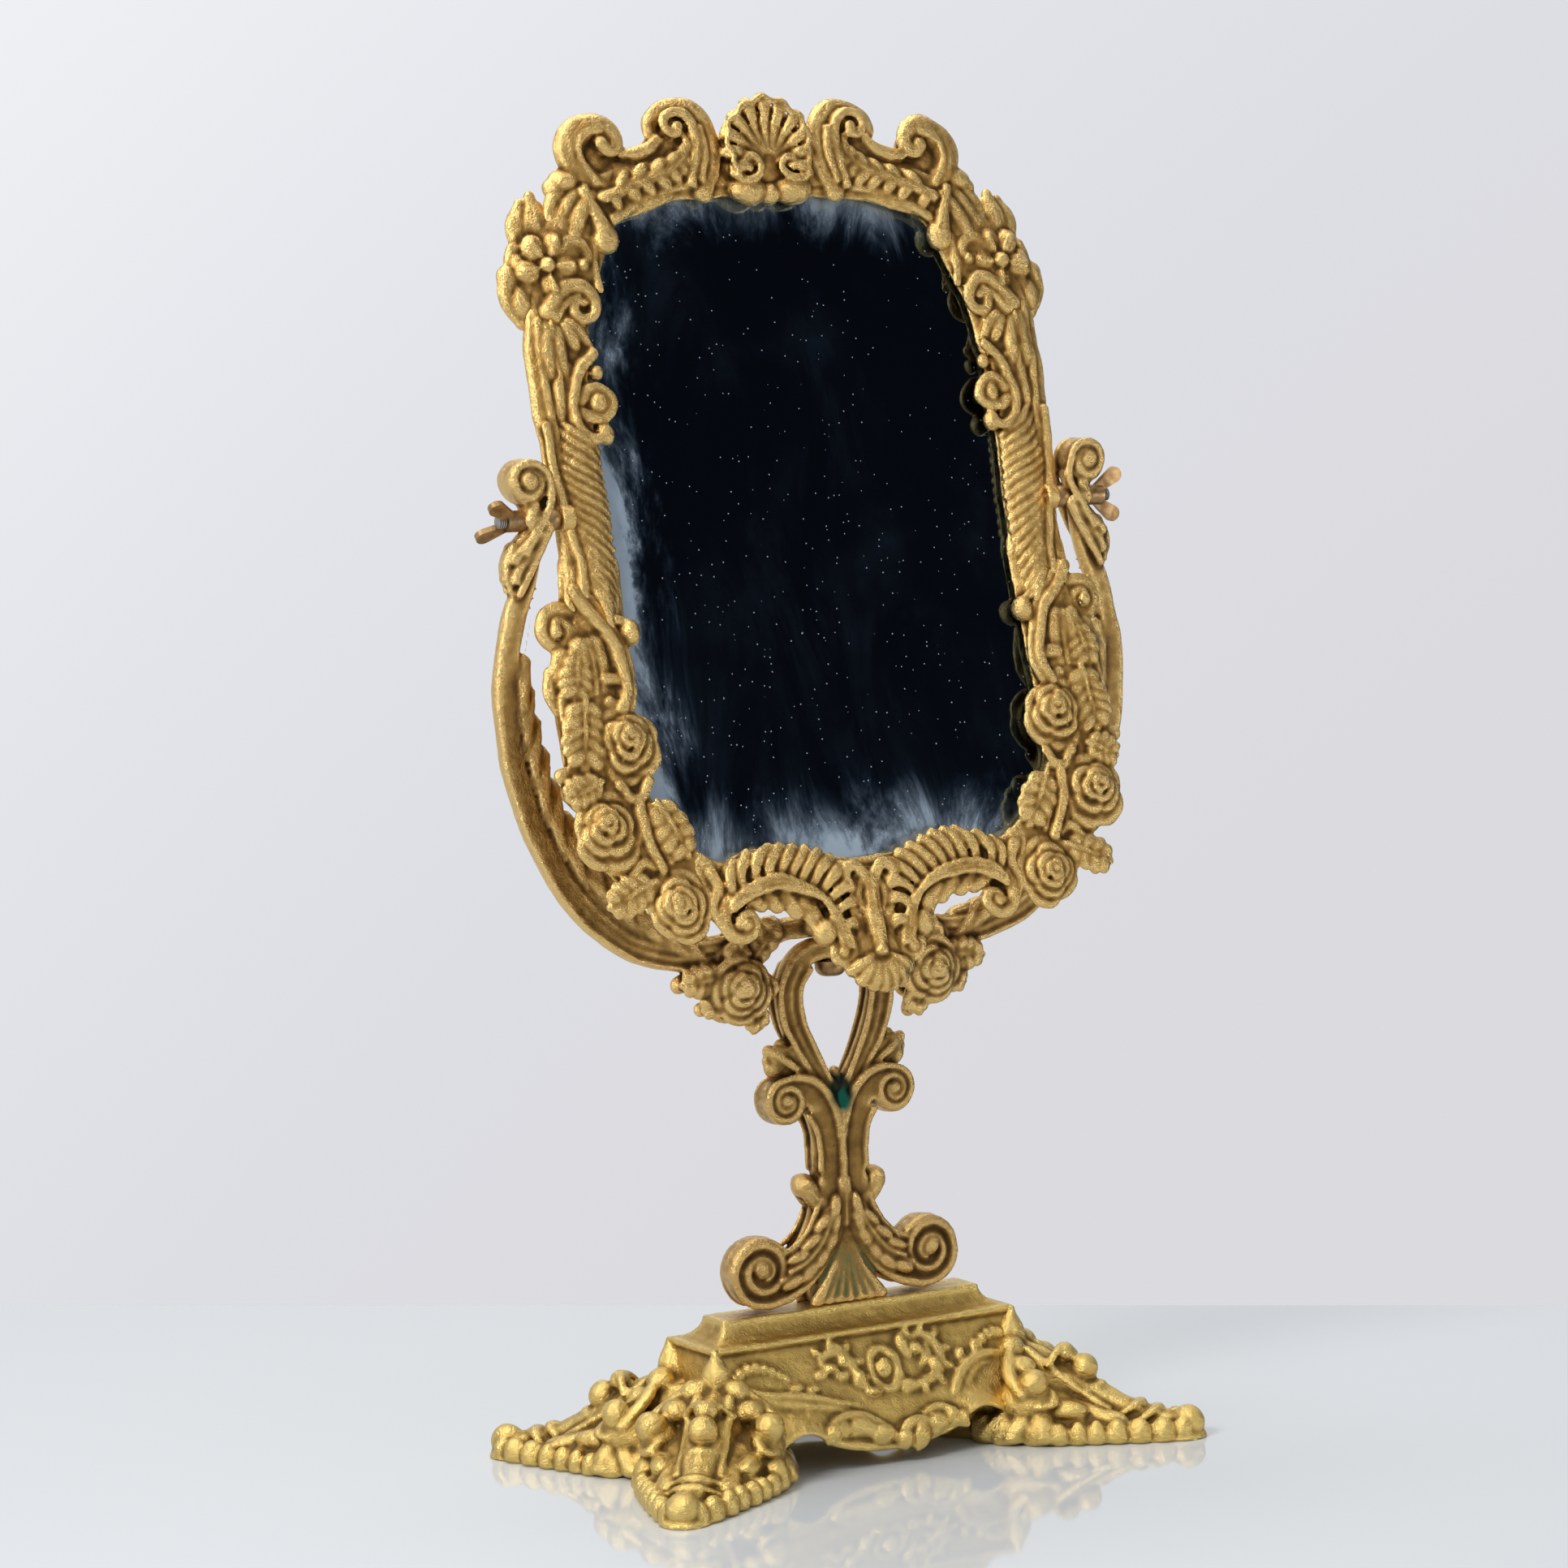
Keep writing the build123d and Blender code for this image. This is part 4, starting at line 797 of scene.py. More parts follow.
stem = bmesh.new()
upper_band = [(4.4, 84), (4.6, 93), (5.4, 102), (8.5, 109.5), (14, 113.8), (19.3, 113.6)]
lower_band = [(4.4, 90), (5.4, 78), (8.3, 69), (14.2, 60.8), (21.6, 55.4), (29, 53.4)]
loop_band = [(1.6, 108), (5.8, 115), (11.8, 126), (15.6, 137), (16, 146), (12, 153.4), (5, 156.3), (0, 156.4)]
filed(stem, [
    [(u, v, 0, 4.7) for u, v in upper_band],
    [(u, v, 0, 4.6 + step * 0.24) for step, (u, v) in enumerate(lower_band)],
], 3.9, 2.2)
filed(stem, [[(u, v, 0, 4) for u, v in loop_band]], 3.2, 2.2)
filed(stem, [
    [(19.3, 110.6, 0, 7.7), (19.4, 110.6, 0, 7.7)],
    [(30, 59, 0, 11.3), (30.1, 59, 0, 11.3)],
], 4.0, 2)
ridged(stem, both_faces([
    level([(0.4, 98), (1.2, 103), (2.8, 108.4), (6.4, 113.6), (12.8, 117.6)], 4.1, 1, 1)
    + spiral((19.3, 110.6), 7, 1.8, 90, -1.8, 4.0, 0.85),
    level([(0.8, 84), (1.6, 74), (4.4, 65.4), (9.8, 57.6), (17, 51.6), (24, 48.9)], 4.1, 1, 1)
    + spiral((30, 59), 10.6, 2.4, -90, 1.9, 4.0, 0.9),
    level([(8.3, 88), (8.5, 95), (9.6, 101.5), (12, 105.4)], 3.9, 0.8, 1),
    level([(8.6, 79), (10.8, 74.2), (14.2, 69), (19, 65.4), (23, 63.6)], 3.9, 0.8, 1),
    level([(19.3, 110.6), (19.8, 110.9)], 3.9, 1.5, 1),
    level([(30.2, 59.8), (30.8, 60.4)], 4, 2, 1),
    level([(7.6, 77.6), (10.2, 79.6), (12.2, 82.6)], 2.6, 2.2, 1.1),
]))
ridged(stem, both_faces([
    level([(6.6, 113.6), (11, 120.4), (15.4, 127.4), (19, 136), (19.6, 145), (16.2, 152.4)], 3.1, 0.8, 1),
    level([(1.6, 113.4), (4.6, 118.6), (8.4, 126.4), (12, 136.8), (12.4, 144.8), (9, 150.6)], 3.1, 0.8, 1),
    level([(3.4, 113), (7.6, 119.6), (12, 127), (15.4, 136.4), (15.8, 145), (12.6, 151.4)], 3, 0.55, 1),
]))
ridged(stem, [
    [(11, 118.4, 0, 3), (16, 121.6, 0.4, 3.2), (21.4, 125, 0.8, 2.6), (23.6, 126.2, 0.6, 1.6)],
    [(11, 119.6, 0, 2.6), (15, 124, 0.4, 2.8), (19.2, 127.8, 0.4, 1.6)],
    [(12.4, 118.8, 2.8, 0.8), (17.4, 122.2, 3.2, 0.9), (22.4, 125.8, 2.2, 0.8)],
    [(12, 121, 2.4, 0.7), (16, 125, 2.6, 0.8), (19, 127.4, 1.6, 0.6)],
    [(19, 120, 0, 2.4), (22.4, 121.6, 0.2, 2.6), (24, 123.4, 0.2, 1.4)],
])
ridged(stem, both_faces([
    level([(3.4, 78), (5.8, 71), (10, 64.4), (16, 59), (24, 55.6)], 4.9, 0.6, 0.7),
]))
swept(stem, both_faces([
    [(3.4, 80, 3.6, 1.2), (4.6, 75.4, 3.9, 3), (7.4, 69, 4, 4.2), (12, 62.8, 4, 4.4), (17.8, 58.6, 4, 3.8),
     (24.4, 56, 3.7, 1.4)],
]), 0.36)
domed(stem, [
    (u, v, side * 4.4, long, wide, 1.6, turn) for side in (-1, 1) for u, v, long, wide, turn in [
        (3.9, 76, 4.2, 1.9, -80), (4.4, 71, 4.8, 2.1, -72), (6.4, 66, 5.2, 2.4, -62),
        (9.8, 61.2, 5.4, 2.5, -50), (14.2, 57.4, 5.2, 2.4, -38), (19.4, 55, 4.6, 2.1, -24),
        (8.6, 71.6, 4.4, 1.7, -44), (12.6, 66.6, 4.6, 1.8, -32), (17.4, 62.4, 4.4, 1.7, -18),
    ]
])
ridged(stem, both_faces([level([(3.6, 79), (6, 72), (9.4, 66.4), (14.4, 61.4), (21, 58)], 5.5, 0.5, 0.7)]))
domed(stem, [(12.4, 83.3, 0, 4, 3.9, 4.6, 0), (13, 84.4, 0, 2.8, 2.6, 5, 0)])
mirrored(stem)
filed(stem, [
    [(0, 118, 0, 1.6), (0, 108, 0, 4), (0, 96, 0, 3), (0, 78, 0, 3.4), (0, 62, 0, 7.4), (0, 49.6, 0, 12.2)],
], 3.5)
ridged(stem, both_faces([
    level([(0, 106), (0, 98), (0, 84), (0, 71)], 4.2, 1, 1),
] + [
    [(foot * 0.08, 69.4, 3.8, 0.7), (foot * 0.4, 57.6, 3.9, 1.2), (foot, 47.3, 4.6, 1.9)]
    for foot in (-11.4, -7.6, -3.8, 0, 3.8, 7.6, 11.4)
]))
base_top, under_yoke = 0.04645, 0.1599
for vert in stem.verts:
    vert.co.y = max(base_top, min(under_yoke, vert.co.y))
stem_piece = cast("stem_scrolls", stem, on_stand, 0.5, 2, 0.6)
stem_piece.data.materials.append(stand_brass)
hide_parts("stem_casting")
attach(stem_piece, "stand")

# Yoke. Cast brass arms that sweep up from two roses to the pivots: a round outer edge, parallel
# ribs inside it, an acanthus web along the inner side, and a scroll on top of each arm.
yoke = bmesh.new()
arm = [(6, 164.4), (22, 161.8), (40, 157.8), (57, 158.6), (76, 167), (91.5, 184), (102.5, 207), (107.8, 233),
       (105.2, 259), (98.8, 277), (96, 290), (95, 299)]
filed(yoke, [[(u, v, 0, 4.5 - step * 0.13) for step, (u, v) in enumerate(arm)]], 2.3, 2)
filed(yoke, [[(u, v, 0, 1.5 - step * 0.08) for step, (u, v) in enumerate(beside(arm[1:10], -3.2))]], 3.7, 2.4)
for shift, thickness in [(-0.4, 0.9), (2.2, 1.1), (4.4, 1.0)]:
    rib = beside(arm[1:10], shift)
    ridged(yoke, both_faces([[
        (u, v, 2.3 - step * 0.1, thickness * (1 - step * 0.11)) for step, (u, v) in enumerate(rib)
    ]]))
web = [(48, 160), (58, 162.4), (69, 169), (80, 179.6), (89, 192), (95.6, 206), (99.8, 222), (102, 236),
       (102.4, 250)]
filed(yoke, [[(u, v, 0, 6 - step * 0.4) for step, (u, v) in enumerate(web)]], 1.9, 1.4)
# The web's leaves: across, up and how far each reaches inwards. Three veins run out over each.
leaves = [(54, 163.4, 3.4), (62, 168.4, 3.9), (70, 174.6, 4.4), (77.6, 181.6, 4.8), (84.8, 190.4, 4.9),
          (91, 200, 4.6), (95.4, 210.4, 4.2), (98.6, 221, 3.8), (100.8, 231, 3.4), (102.2, 240.6, 3),
          (103, 249, 2.4)]
for step, (u, v, reach) in enumerate(leaves):
    after = leaves[min(step + 1, len(leaves) - 1)]
    before = leaves[max(step - 1, 0)]
    along = Vector((after[0] - before[0], after[1] - before[1])).normalized()
    inward = Vector((-along.y, along.x))
    turn = math.degrees(math.atan2(along.y, along.x))
    domed(yoke, [(u + inward.x * 0.6, v + inward.y * 0.6, 0, reach * 1.25, reach * 0.82, 2.7, turn + 24)])
    for share, length, width in [(0.75, 15, 1.0), (0.15, 19, 1.1), (-0.5, 17, 0.9)]:
        tip = Vector((u, v)) + inward * reach * share + along * reach * (1 - abs(share)) * 0.8
        belly = Vector((u, v)) - along * length * 0.4 + inward * reach * (share - 0.55) * 0.5
        root = Vector((u, v)) - along * length - inward * (2.6 - share)
        vein = [(*root, 2.2, width * 0.6), (*belly, 2.5, width), (*tip, 1.5, width * 0.9)]
        ridged(yoke, both_faces([vein]))
filed(yoke, [[(99.2, 303.4, 0, 7.2), (99.3, 303.4, 0, 7.2)]], 3.7, 2)
ridged(yoke, both_faces([
    level([(101, 283), (97.4, 288.6), (93, 295.4), (92, 300.6)], 4, 1, 1)
    + spiral((99.2, 303.4), 6.6, 2, 180, -1.5, 4.1, 1),
    level([(99.2, 303.4), (99.6, 303.8)], 4.3, 2, 1),
    level([(98.8, 292), (97.4, 296), (98.6, 298.6)], 3.2, 1.6, 0.8),
    level([(93.4, 290), (97, 283), (102.2, 279.6), (104.6, 275)], 3, 1.7, 0.7),
    level([(96, 288), (100.6, 284.6), (104.8, 281)], 3.4, 1.4, 0.8),
    level([(95.6, 284), (99.6, 277), (103.6, 270.6)], 3.4, 1.2, 0.8),
    level([(103.8, 284), (106.4, 278), (105.6, 272)], 1.4, 1.6, 0.7),
]))
swept(yoke, [
    level([(97, 289), (101.8, 285), (105.8, 280.4), (107, 275)], 0, 2.8, 0.6),
    level([(96, 292), (98.4, 297), (98.4, 300)], 0, 3.2, 1),
], 1.3)
for side in (1, -1):
    rosette(yoke, (34, 146.6), 9.6, side * 3.6, side * 4.2, (35, 147.4))
filed(yoke, [
    [(34, 148, 0, 9.2), (34.1, 148, 0, 9.2)],
    [(34, 152, 0, 7), (26, 159, 0, 5)],
    [(38, 157, 0, 5), (24, 161, 0, 4.4)],
], 3.4, 1)
broad_leaf(yoke, (39, 151.5), (54.5, 149.6), 4.6, 2.6)
broad_leaf(yoke, (38.5, 144.5), (47.6, 141.2), 3.6, 2.4, 3)
broad_leaf(yoke, (31, 142), (27, 133.6), 4.2, 2.4, 3)
broad_leaf(yoke, (27.5, 150), (21.6, 143.6), 3.4, 2.2, 3)
broad_leaf(yoke, (29, 156), (20, 166.5), 4.6, 1.6, 3)
broad_leaf(yoke, (39, 156), (31.6, 160.6), 4, 3, 3)
ridged(yoke, [
    level([(39, 150), (47, 150.6), (53.6, 149.6)], 0, 3.4, 0.6),
    level([(38, 144), (43, 142), (46.4, 141.4)], 0, 3, 0.6),
    level([(32, 142), (29, 138), (27.4, 134.8)], 0, 3.2, 0.6),
    level([(28, 149), (24, 146.6), (22, 144)], 0, 2.8, 0.6),
    level([(28, 157), (23.4, 162), (20.6, 165.4)], 0, 3.4, 0.6),
])
mirrored(yoke)
filed(yoke, [[(-7, 164.2, 0, 3.9), (7, 164.2, 0, 3.9)]], 5.6, 1.6)
bolt_boss, bolt_boss_depth, bolt_height = 6, 7.8, 0.1640
stud_boss, stud_boss_length, arm_middle = 4.6, 6.2, 0.0964
bmesh.ops.create_cone(
    yoke, cap_ends=True, segments=40, radius1=bolt_boss / 1000, radius2=bolt_boss / 1000,
    depth=bolt_boss_depth / 1000,
    matrix=Matrix.Translation((0, bolt_height, 0)) @ Matrix.Rotation(math.radians(90), 4, "X"),
)
for side in (-1, 1):
    at_arm = Matrix.Translation((side * arm_middle, pivot_height, 0))
    bmesh.ops.create_cone(
        yoke, cap_ends=True, segments=32, radius1=stud_boss / 1000, radius2=stud_boss / 1000,
        depth=stud_boss_length / 1000, matrix=at_arm @ Matrix.Rotation(math.radians(90), 4, "Y"),
    )
pad_half_length, on_stem = 0.0185, 0.16005
for vert in yoke.verts:
    if abs(vert.co.x) < pad_half_length:
        vert.co.y = max(on_stem, vert.co.y)
yoke_piece = cast("yoke_arms", yoke, on_stand, 0.55, 2, 0.6)
yoke_brass = cast_brass("cast_brass_yoke", "#E4C07C", "#AB874B", "#7C5D36", "#4A371F", 0.24)
yoke_piece.data.materials.append(yoke_brass)
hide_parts("yoke_casting")
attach(yoke_piece, "stand")

# Base, body. A hollow casting drawn as one rectangle that grows downwards: platform, cove, a thin
# step and a flaring skirt, then back up inside to the roof. Pearls and small scrolls on its front.
# Paler and yellower than the stand's brass: partly cleaner, polished metal, partly painted light falling from
# above.
base_brass_polish_and_painted_light = cast_brass("cast_brass_base_polish_and_painted_light", "#DCBE72", "#CFAE62", "#AA8B4C", "#745C33", 0.22)
half_length, half_depth, platform_top = 46.1, 6.9, 46.4
body = bmesh.new()
platform = Matrix.Diagonal((half_length / 500, half_depth / 500, 1, 1))
platform.translation.z = platform_top / 1000
bmesh.ops.create_grid(body, x_segments=12, y_segments=2, size=0.5, matrix=platform)
rim_edges = [edge for edge in body.edges if edge.is_boundary]
# The rest of the profile, outside down to the hem and back up inside: half length, half depth, height.
profile = [
    (46.3, 7.1, 46.2), (46.3, 7.1, 45.2), (46.9, 7.6, 43.4), (48.6, 9, 41.4), (51.2, 11.2, 40.1),
    (54.5, 14.1, 39.6), (54.7, 14.3, 39.3), (54.7, 14.3, 38.0), (53.5, 13.2, 37.6), (53.7, 14.6, 34),
    (54.2, 17.4, 29), (55, 21, 23.6), (56.2, 25, 18.4), (57.6, 28.4, 13.4), (59, 31, 9.2), (58.6, 30.6, 8.2),
    (56.4, 28.4, 8.2), (55, 27, 10), (52.6, 22.4, 18), (51.2, 17, 26), (50.2, 11.6, 34), (50, 9.8, 38),
]
for length, depth, height in profile:
    grown = bmesh.ops.extrude_edge_only(body, edges=rim_edges)["geom"]
    verts = [g for g in grown if isinstance(g, bmesh.types.BMVert)]
    bmesh.ops.scale(body, vec=(length / half_length, depth / half_depth, 1), verts=verts)
    for vert in verts:
        vert.co.z = height / 1000
    rim_edges = [g for g in grown if isinstance(g, bmesh.types.BMEdge)]
    half_length, half_depth = length, depth
bmesh.ops.holes_fill(body, edges=rim_edges)
long_edges = [edge for edge in body.edges if edge.calc_length() > 0.006]
bmesh.ops.subdivide_edges(body, edges=long_edges, cuts=2, use_grid_fill=True)
# The hem of each long side drops in the middle between two arches, and each end has one arch.
arch_middle, arch_reach, arch_rise = 32, 9.5, 0.0052
drop_reach, drop_fall = 22, 0.0038
end_reach, end_rise = 11, 0.005
for vert in body.verts:
    x, y, z = vert.co * 1000
    if z < 20 and abs(y) > 14 and abs(x) < 57:
        lift = max(0, 1 - ((abs(x) - arch_middle) / arch_reach) ** 2)
        vert.co.z += lift * (20 - z) / 12 * arch_rise
        vert.co.z -= (20 - z) / 12 * max(0, 1 - (x / drop_reach) ** 2) * drop_fall
    if z < 22 and abs(x) > 50 and abs(y) < 12:
        vert.co.z += max(0, 1 - (y / end_reach) ** 2) * (22 - z) / 13 * end_rise
bmesh.ops.recalc_face_normals(body, faces=body.faces[:])


def skirt_face(height):
    """How far out the skirt's front stands at a height, as in the profile."""
    heights = [8, 9.2, 13.4, 18.4, 23.6, 29, 34, 37.6]
    return np.interp(height, heights, [31, 31, 28.4, 25, 21, 17.4, 14.6, 13.2])


ornament = bmesh.new()
# Each line: its points across and up, how far it stands out, and its radius at the first and last point.
scroll_thickness, swelling = 0.8, 0.75
runs = []
for points, rise, (first, final) in [
    ([(-53, 27), (-45, 25.8), (-38, 24), (-30, 22.8), (-23, 21.4), (-16, 19.6), (-9.6, 18.4)],
     -0.1, (1.2, 0.7)),
    ([(-50, 24), (-41, 23), (-33, 20.8), (-25, 19.4), (-14, 17.4)], -0.3, (0.5, 0.9)),
    ([(24.4, 17.6), (28, 21.6), (33.6, 25), (40, 26.6), (47, 26)], 0.1, (1.3, 0.8)),
    ([(27, 16.4), (31, 20), (37, 23.4), (45, 23.6)], -0.5, (0.6, 0.6)),
    ([(-18.6, 29), (-16.6, 32.4), (-12.6, 33), (-9, 30.6), (-7.6, 26.6), (-5.4, 22.8)], 0, (0.7, 1.6)),
    ([(-12.8, 36.4), (-11.4, 34.2), (-9.6, 31)], 0.2, (0.9, 1.3)),
    ([(-9.4, 27.4), (-12.4, 26.4), (-14.6, 28.6)], -0.1, (1, 0.6)),
    ([(-1.4, 26.8), (-0.4, 30.6), (3, 32.4), (6.4, 30.6), (7.4, 26.8), (6.4, 23), (3, 21.2), (-0.4, 23),
      (-1.4, 26.8)], 0, (0.9, 0.9)),
    ([(12.8, 36.6), (11.8, 33.4), (12.8, 29.8)], 0.2, (0.9, 1.2)),
    ([(12.6, 30), (15.6, 34), (19.8, 34.4), (23, 31), (23, 26.6), (19.6, 23), (14, 21.4), (8, 20.4)],
     0, (0.9, 1.5)),
    ([(19.8, 31), (18.6, 27.6), (15.8, 26)], 0, (1.6, 0.7)),
    ([(-24.4, 10.4), (-20, 14.4), (-13.4, 15.4), (-6, 12.6), (-1, 8.6)], 0, (1.4, 1.5)),
    ([(-16, 11.6), (-9, 11.4), (-4, 8.4)], 0.4, (1.2, 1.4)),
    ([(1.6, 6.4), (4, 11), (9, 11.6), (13.6, 8.6)], 0.3, (1.4, 1.3)),
    ([(6.6, 4.6), (7.6, 8.6), (9.4, 12.8)], 0.6, (1.6, 0.9)),
    ([(11.4, 13.6), (16.6, 14.4), (21.4, 11), (24.6, 9)], 0.1, (1.1, 1.4)),
]:
    last = len(points) - 1
    for side in (1, -1):
        run = []
        for step, (u, v) in enumerate(points):
            radius = scroll_thickness * first + scroll_thickness * (final - first) * step / last
            radius += swelling * math.sin(math.pi * step / last)
            run.append((u * side, v, side * (skirt_face(v) + rise - 0.15), radius))
        runs.append(run)
ridged(ornament, runs)
# Pearls of (across, up, size), leaves of (across, up, width, height) and husks of (across, up, turn).
beads = []
for side in (1, -1):
    for u, v, size in [
        (-48.6, 30.2, 1.2), (-46, 31.6, 1.35), (-43.3, 32.4, 1.5), (-40.5, 32.5, 1.55), (-37.8, 31.9, 1.45),
        (-35.3, 30.9, 1.3), (-33, 29.7, 1.1), (-31, 28.6, 0.9), (34.4, 26.4, 1), (36.2, 28, 1.2),
        (38.2, 29.6, 1.4), (40.4, 31, 1.5), (42.8, 32, 1.55), (45.2, 32.4, 1.5), (47.4, 32, 1.3),
    ]:
        beads.append((u * side, v, side * (skirt_face(v) + 0.1), size, size * 1.35, size * 0.9, 0))
    for u, v, wide, high in [
        (-22, 12, 2.8, 3.2), (-18.4, 12.6, 2.6, 2.8), (-12.4, 12.6, 5, 3), (-5, 10, 4.6, 3.2),
        (2.2, 7.4, 2.8, 3.6), (8, 7.2, 3.2, 4), (14.6, 10.6, 4, 3), (20.4, 11.4, 2.7, 3.6),
        (23.8, 10.6, 2, 3), (-6.9, 25, 2.4, 3.6), (20.6, 25.4, 2.4, 3.4), (-15.4, 29.4, 2.6, 1.8),
        (-10.4, 30.8, 2.4, 2.6), (3, 26.8, 2.8, 4), (16.2, 31.2, 2.6, 2.2), (17, 22.6, 3, 1.6),
        (-3, 21.6, 3.2, 1.5), (9.4, 22.4, 3, 1.5),
    ]:
        beads.append((u * side, v, side * (skirt_face(v) - 0.2), wide, high, 2.4, 0))
    for u, v, turn in [
        (-18, 33.4, 125), (-13.6, 35, 92), (-8.6, 34, 45), (-5.8, 30, 12), (-4.6, 25.6, -20),
        (-19.4, 28, 190), (14.4, 35.4, 115), (19, 36, 82), (23.6, 34.2, 45), (25.8, 30, 8), (25.4, 25.4, -25),
        (21.4, 21.6, -62), (14.6, 20, -100), (-24, 24.4, 200), (-29, 25.6, 190), (30.6, 27.6, 60),
        (36.4, 29, 75),
    ]:
        heading = turn if side > 0 else 180 - turn
        beads.append((u * side, v, side * (skirt_face(v) - 0.1), 2.8, 1.3, 1.3, heading))
domed(ornament, beads)
bmesh.ops.transform(ornament, matrix=on_stand, verts=ornament.verts)
joined(body, ornament)
base_body = cast("base_body", body, Matrix.Identity(4), 0.62, 2, 0.5)
base_body.data.materials.append(base_brass_polish_and_painted_light)
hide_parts("base_casting")
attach(base_body, "stand")

# Base, paws. Four leaf paws at the corners: a swelling foot with scalloped toes, side knuckles,
# folds across the instep and a pointed leaf that runs up to the moulding.


def paw(into, facing, side):
    """Adds one paw; it is laid out along its own length, across and up, then turned to its corner."""
    corner = (0.0487, 0.0083, 0)
    heading = math.atan2(48.7, 41.3)
    shape = bmesh.new()
    swept(shape, [[(-6, 0, 2, 17), (8, 0, 1.5, 23), (22, 0, 1, 22), (36, 0, 0.5, 18.4), (50, 0, 0, 13),
                   (61, 0, 0, 8.5)]], 0.5)
    swept(shape, [[(-2, 0, 8, 20), (14, 0, 6, 18.6), (26, 0, 3, 15.6), (38, 0, 1.5, 12), (50, 0, 1, 8)]], 0.8)
    swept(shape, [[(-8, 0, 16, 15), (10, 0, 16, 13), (19, 0, 14.5, 10.5), (28, 0, 12.5, 7.6), (38, 0, 9, 5.8),
                   (48, 0, 5.4, 5), (60, 0, 3, 5)]], 1)
    swept(shape, [[(6.4, 0, 29, 5.4), (7, 0, 34, 4.2), (7.6, 0, 38.4, 1.4)]], 1)
    lobes = [(24.6, 0, 25.2, 3.2, 3.8, 3.2), (30.6, 0, 20.4, 4.4, 4.5, 4.8), (63.2, 0, 4.7, 5.6, 5.4, 5.4)]
    lines = [
        [(32.4, -5, 14.4, 0.9), (36, 0, 16, 1.1), (32.4, 5, 14.4, 0.9)],
        [(44, -6.4, 7.8, 1), (48.4, 0, 10.6, 1.3), (44, 6.4, 7.8, 1)],
        [(49.6, -7.4, 5.8, 1.1), (53.6, 0, 9, 1.4), (49.6, 7.4, 5.8, 1.1)],
        [(20.6, -8, 22.4, 1), (23.6, 0, 27.4, 1.1), (20.6, 8, 22.4, 1)],
    ]
    for flank in (-1, 1):
        lobes += [
            (8.6, flank * 6, 26.6, 4.6, 5, 4.6), (13.4, flank * 11.4, 22.4, 4.8, 4.6, 3.6),
            (16, flank * 16, 12, 9, 6.4, 9), (19.2, flank * 18.2, 18.8, 4.8, 4.8, 4.8),
            (62.7, flank * 4.8, 2.6, 3.2, 3, 4.6), (57.4, flank * 7.8, 2.8, 4, 3.4, 5),
            (50.6, flank * 10.8, 2.8, 4, 3.4, 5.2), (44.2, flank * 13.4, 2.8, 3.4, 3.2, 5),
            (38.4, flank * 15.6, 2.6, 3.2, 3.2, 5), (33, flank * 17.6, 2.6, 3, 3.2, 4.8),
            (27.4, flank * 19.4, 2.6, 3.2, 3.2, 4.6), (20, flank * 20.8, 3, 4.6, 3.2, 5),
            (10.4, flank * 21.2, 3.4, 5, 3.2, 5.6), (3, flank * 19.6, 3.6, 4, 3.2, 6),
            (26, flank * 13, 9.6, 9, 4, 3.4), (38, flank * 9, 6.6, 9, 3.6, 3),
        ]
        lines += [
            [(17, flank * 16, 12.4, 1.8), ((17 + x) / 2 + bend, flank * (18 + across) / 2, 7.6, 2.8),
             (x, flank * across, 2.6, 3)]
            for x, across, bend in [(4, 19.8, -1.6), (13, 21.4, 0.6), (23, 20.4, 1.6)]
        ]
        lines += [
            [(28, flank * 8, 11.4, 1.4), ((28 + x) / 2 + bend, flank * (9 + across) / 2, 7.4, 2.2),
             (x, flank * across, 3, 2)]
            for x, across, bend in [(36, 15.6, -1), (49, 10.6, 1.6)]
        ]
        lines += [
            [(14, flank * 5, 27, 1.1), (20, flank * 6, 22.4, 1.2), (30, flank * 6.2, 14.8, 1),
             (40, flank * 6.4, 9.4, 0.8)],
            [(9, flank * 8, 28.6, 1.2), (10, flank * 14, 24.2, 1.7), (12.4, flank * 18.4, 20, 1.8),
             (16, flank * 21, 15.6, 1.5)],
            [(23.6, flank * 15, 15.6, 1.2), (25, flank * 18, 12.6, 1.6), (21.6, flank * 20.6, 12, 1.2)],
        ]
    ridged(shape, lines)
    domed(shape, [(*lobe, 0) for lobe in lobes])
    place = Matrix.Translation(corner) @ Matrix.Rotation(heading, 4, "Z")
    bmesh.ops.transform(shape, matrix=place, verts=shape.verts)
    for vert in shape.verts:
        vert.co.z = max(0, vert.co.z)
    bmesh.ops.scale(shape, vec=(side, facing, 1), verts=shape.verts)
    if side * facing < 0:
        bmesh.ops.reverse_faces(shape, faces=shape.faces)
    joined(into, shape)


for side, name in [(-1, "base_paws_left"), (1, "base_paws_right")]:
    paws = bmesh.new()
    paw(paws, 1, side)
    paw(paws, -1, side)
    pair = cast(name, paws, Matrix.Identity(4), 0.6, 4, 0.7)
    pair.data.materials.append(base_brass_polish_and_painted_light)
    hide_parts("base_casting")
    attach(pair, "stand")

# Floor, backdrop and light: glass over pale paper, the photo's own viewpoint, a bright room with a
# dark side that the mirror shows, and three soft lamps from the left, low right and above.
camera_data = bpy.data.cameras.new("camera")
camera = bpy.data.objects.new("camera", camera_data)
bpy.context.collection.objects.link(camera)
bpy.context.scene.camera = camera
right = Vector((0.862, -0.506, -0.036))
up = Vector((0.071, 0.050, 0.996))
back = Vector((-0.502, -0.861, 0.079))
eye = (-0.69415, -1.16609, 0.31494)
camera.matrix_world = Matrix.Translation(eye) @ Matrix((right, up, back)).transposed().to_4x4()
camera_data.lens = 101.5
camera_data.sensor_width = 36
camera_data.clip_start = 0.05
bpy.context.scene.view_settings.view_transform = "Standard"
floor_reach, floor_middle, floor_turn = 6, (-3.8193, -4.3406, 0), -40.66
floor_shape = bmesh.new()
bmesh.ops.create_grid(floor_shape, x_segments=1, y_segments=1, size=floor_reach)
floor_mesh = bpy.data.meshes.new("tabletop")
floor_shape.to_mesh(floor_mesh)
floor_shape.free()
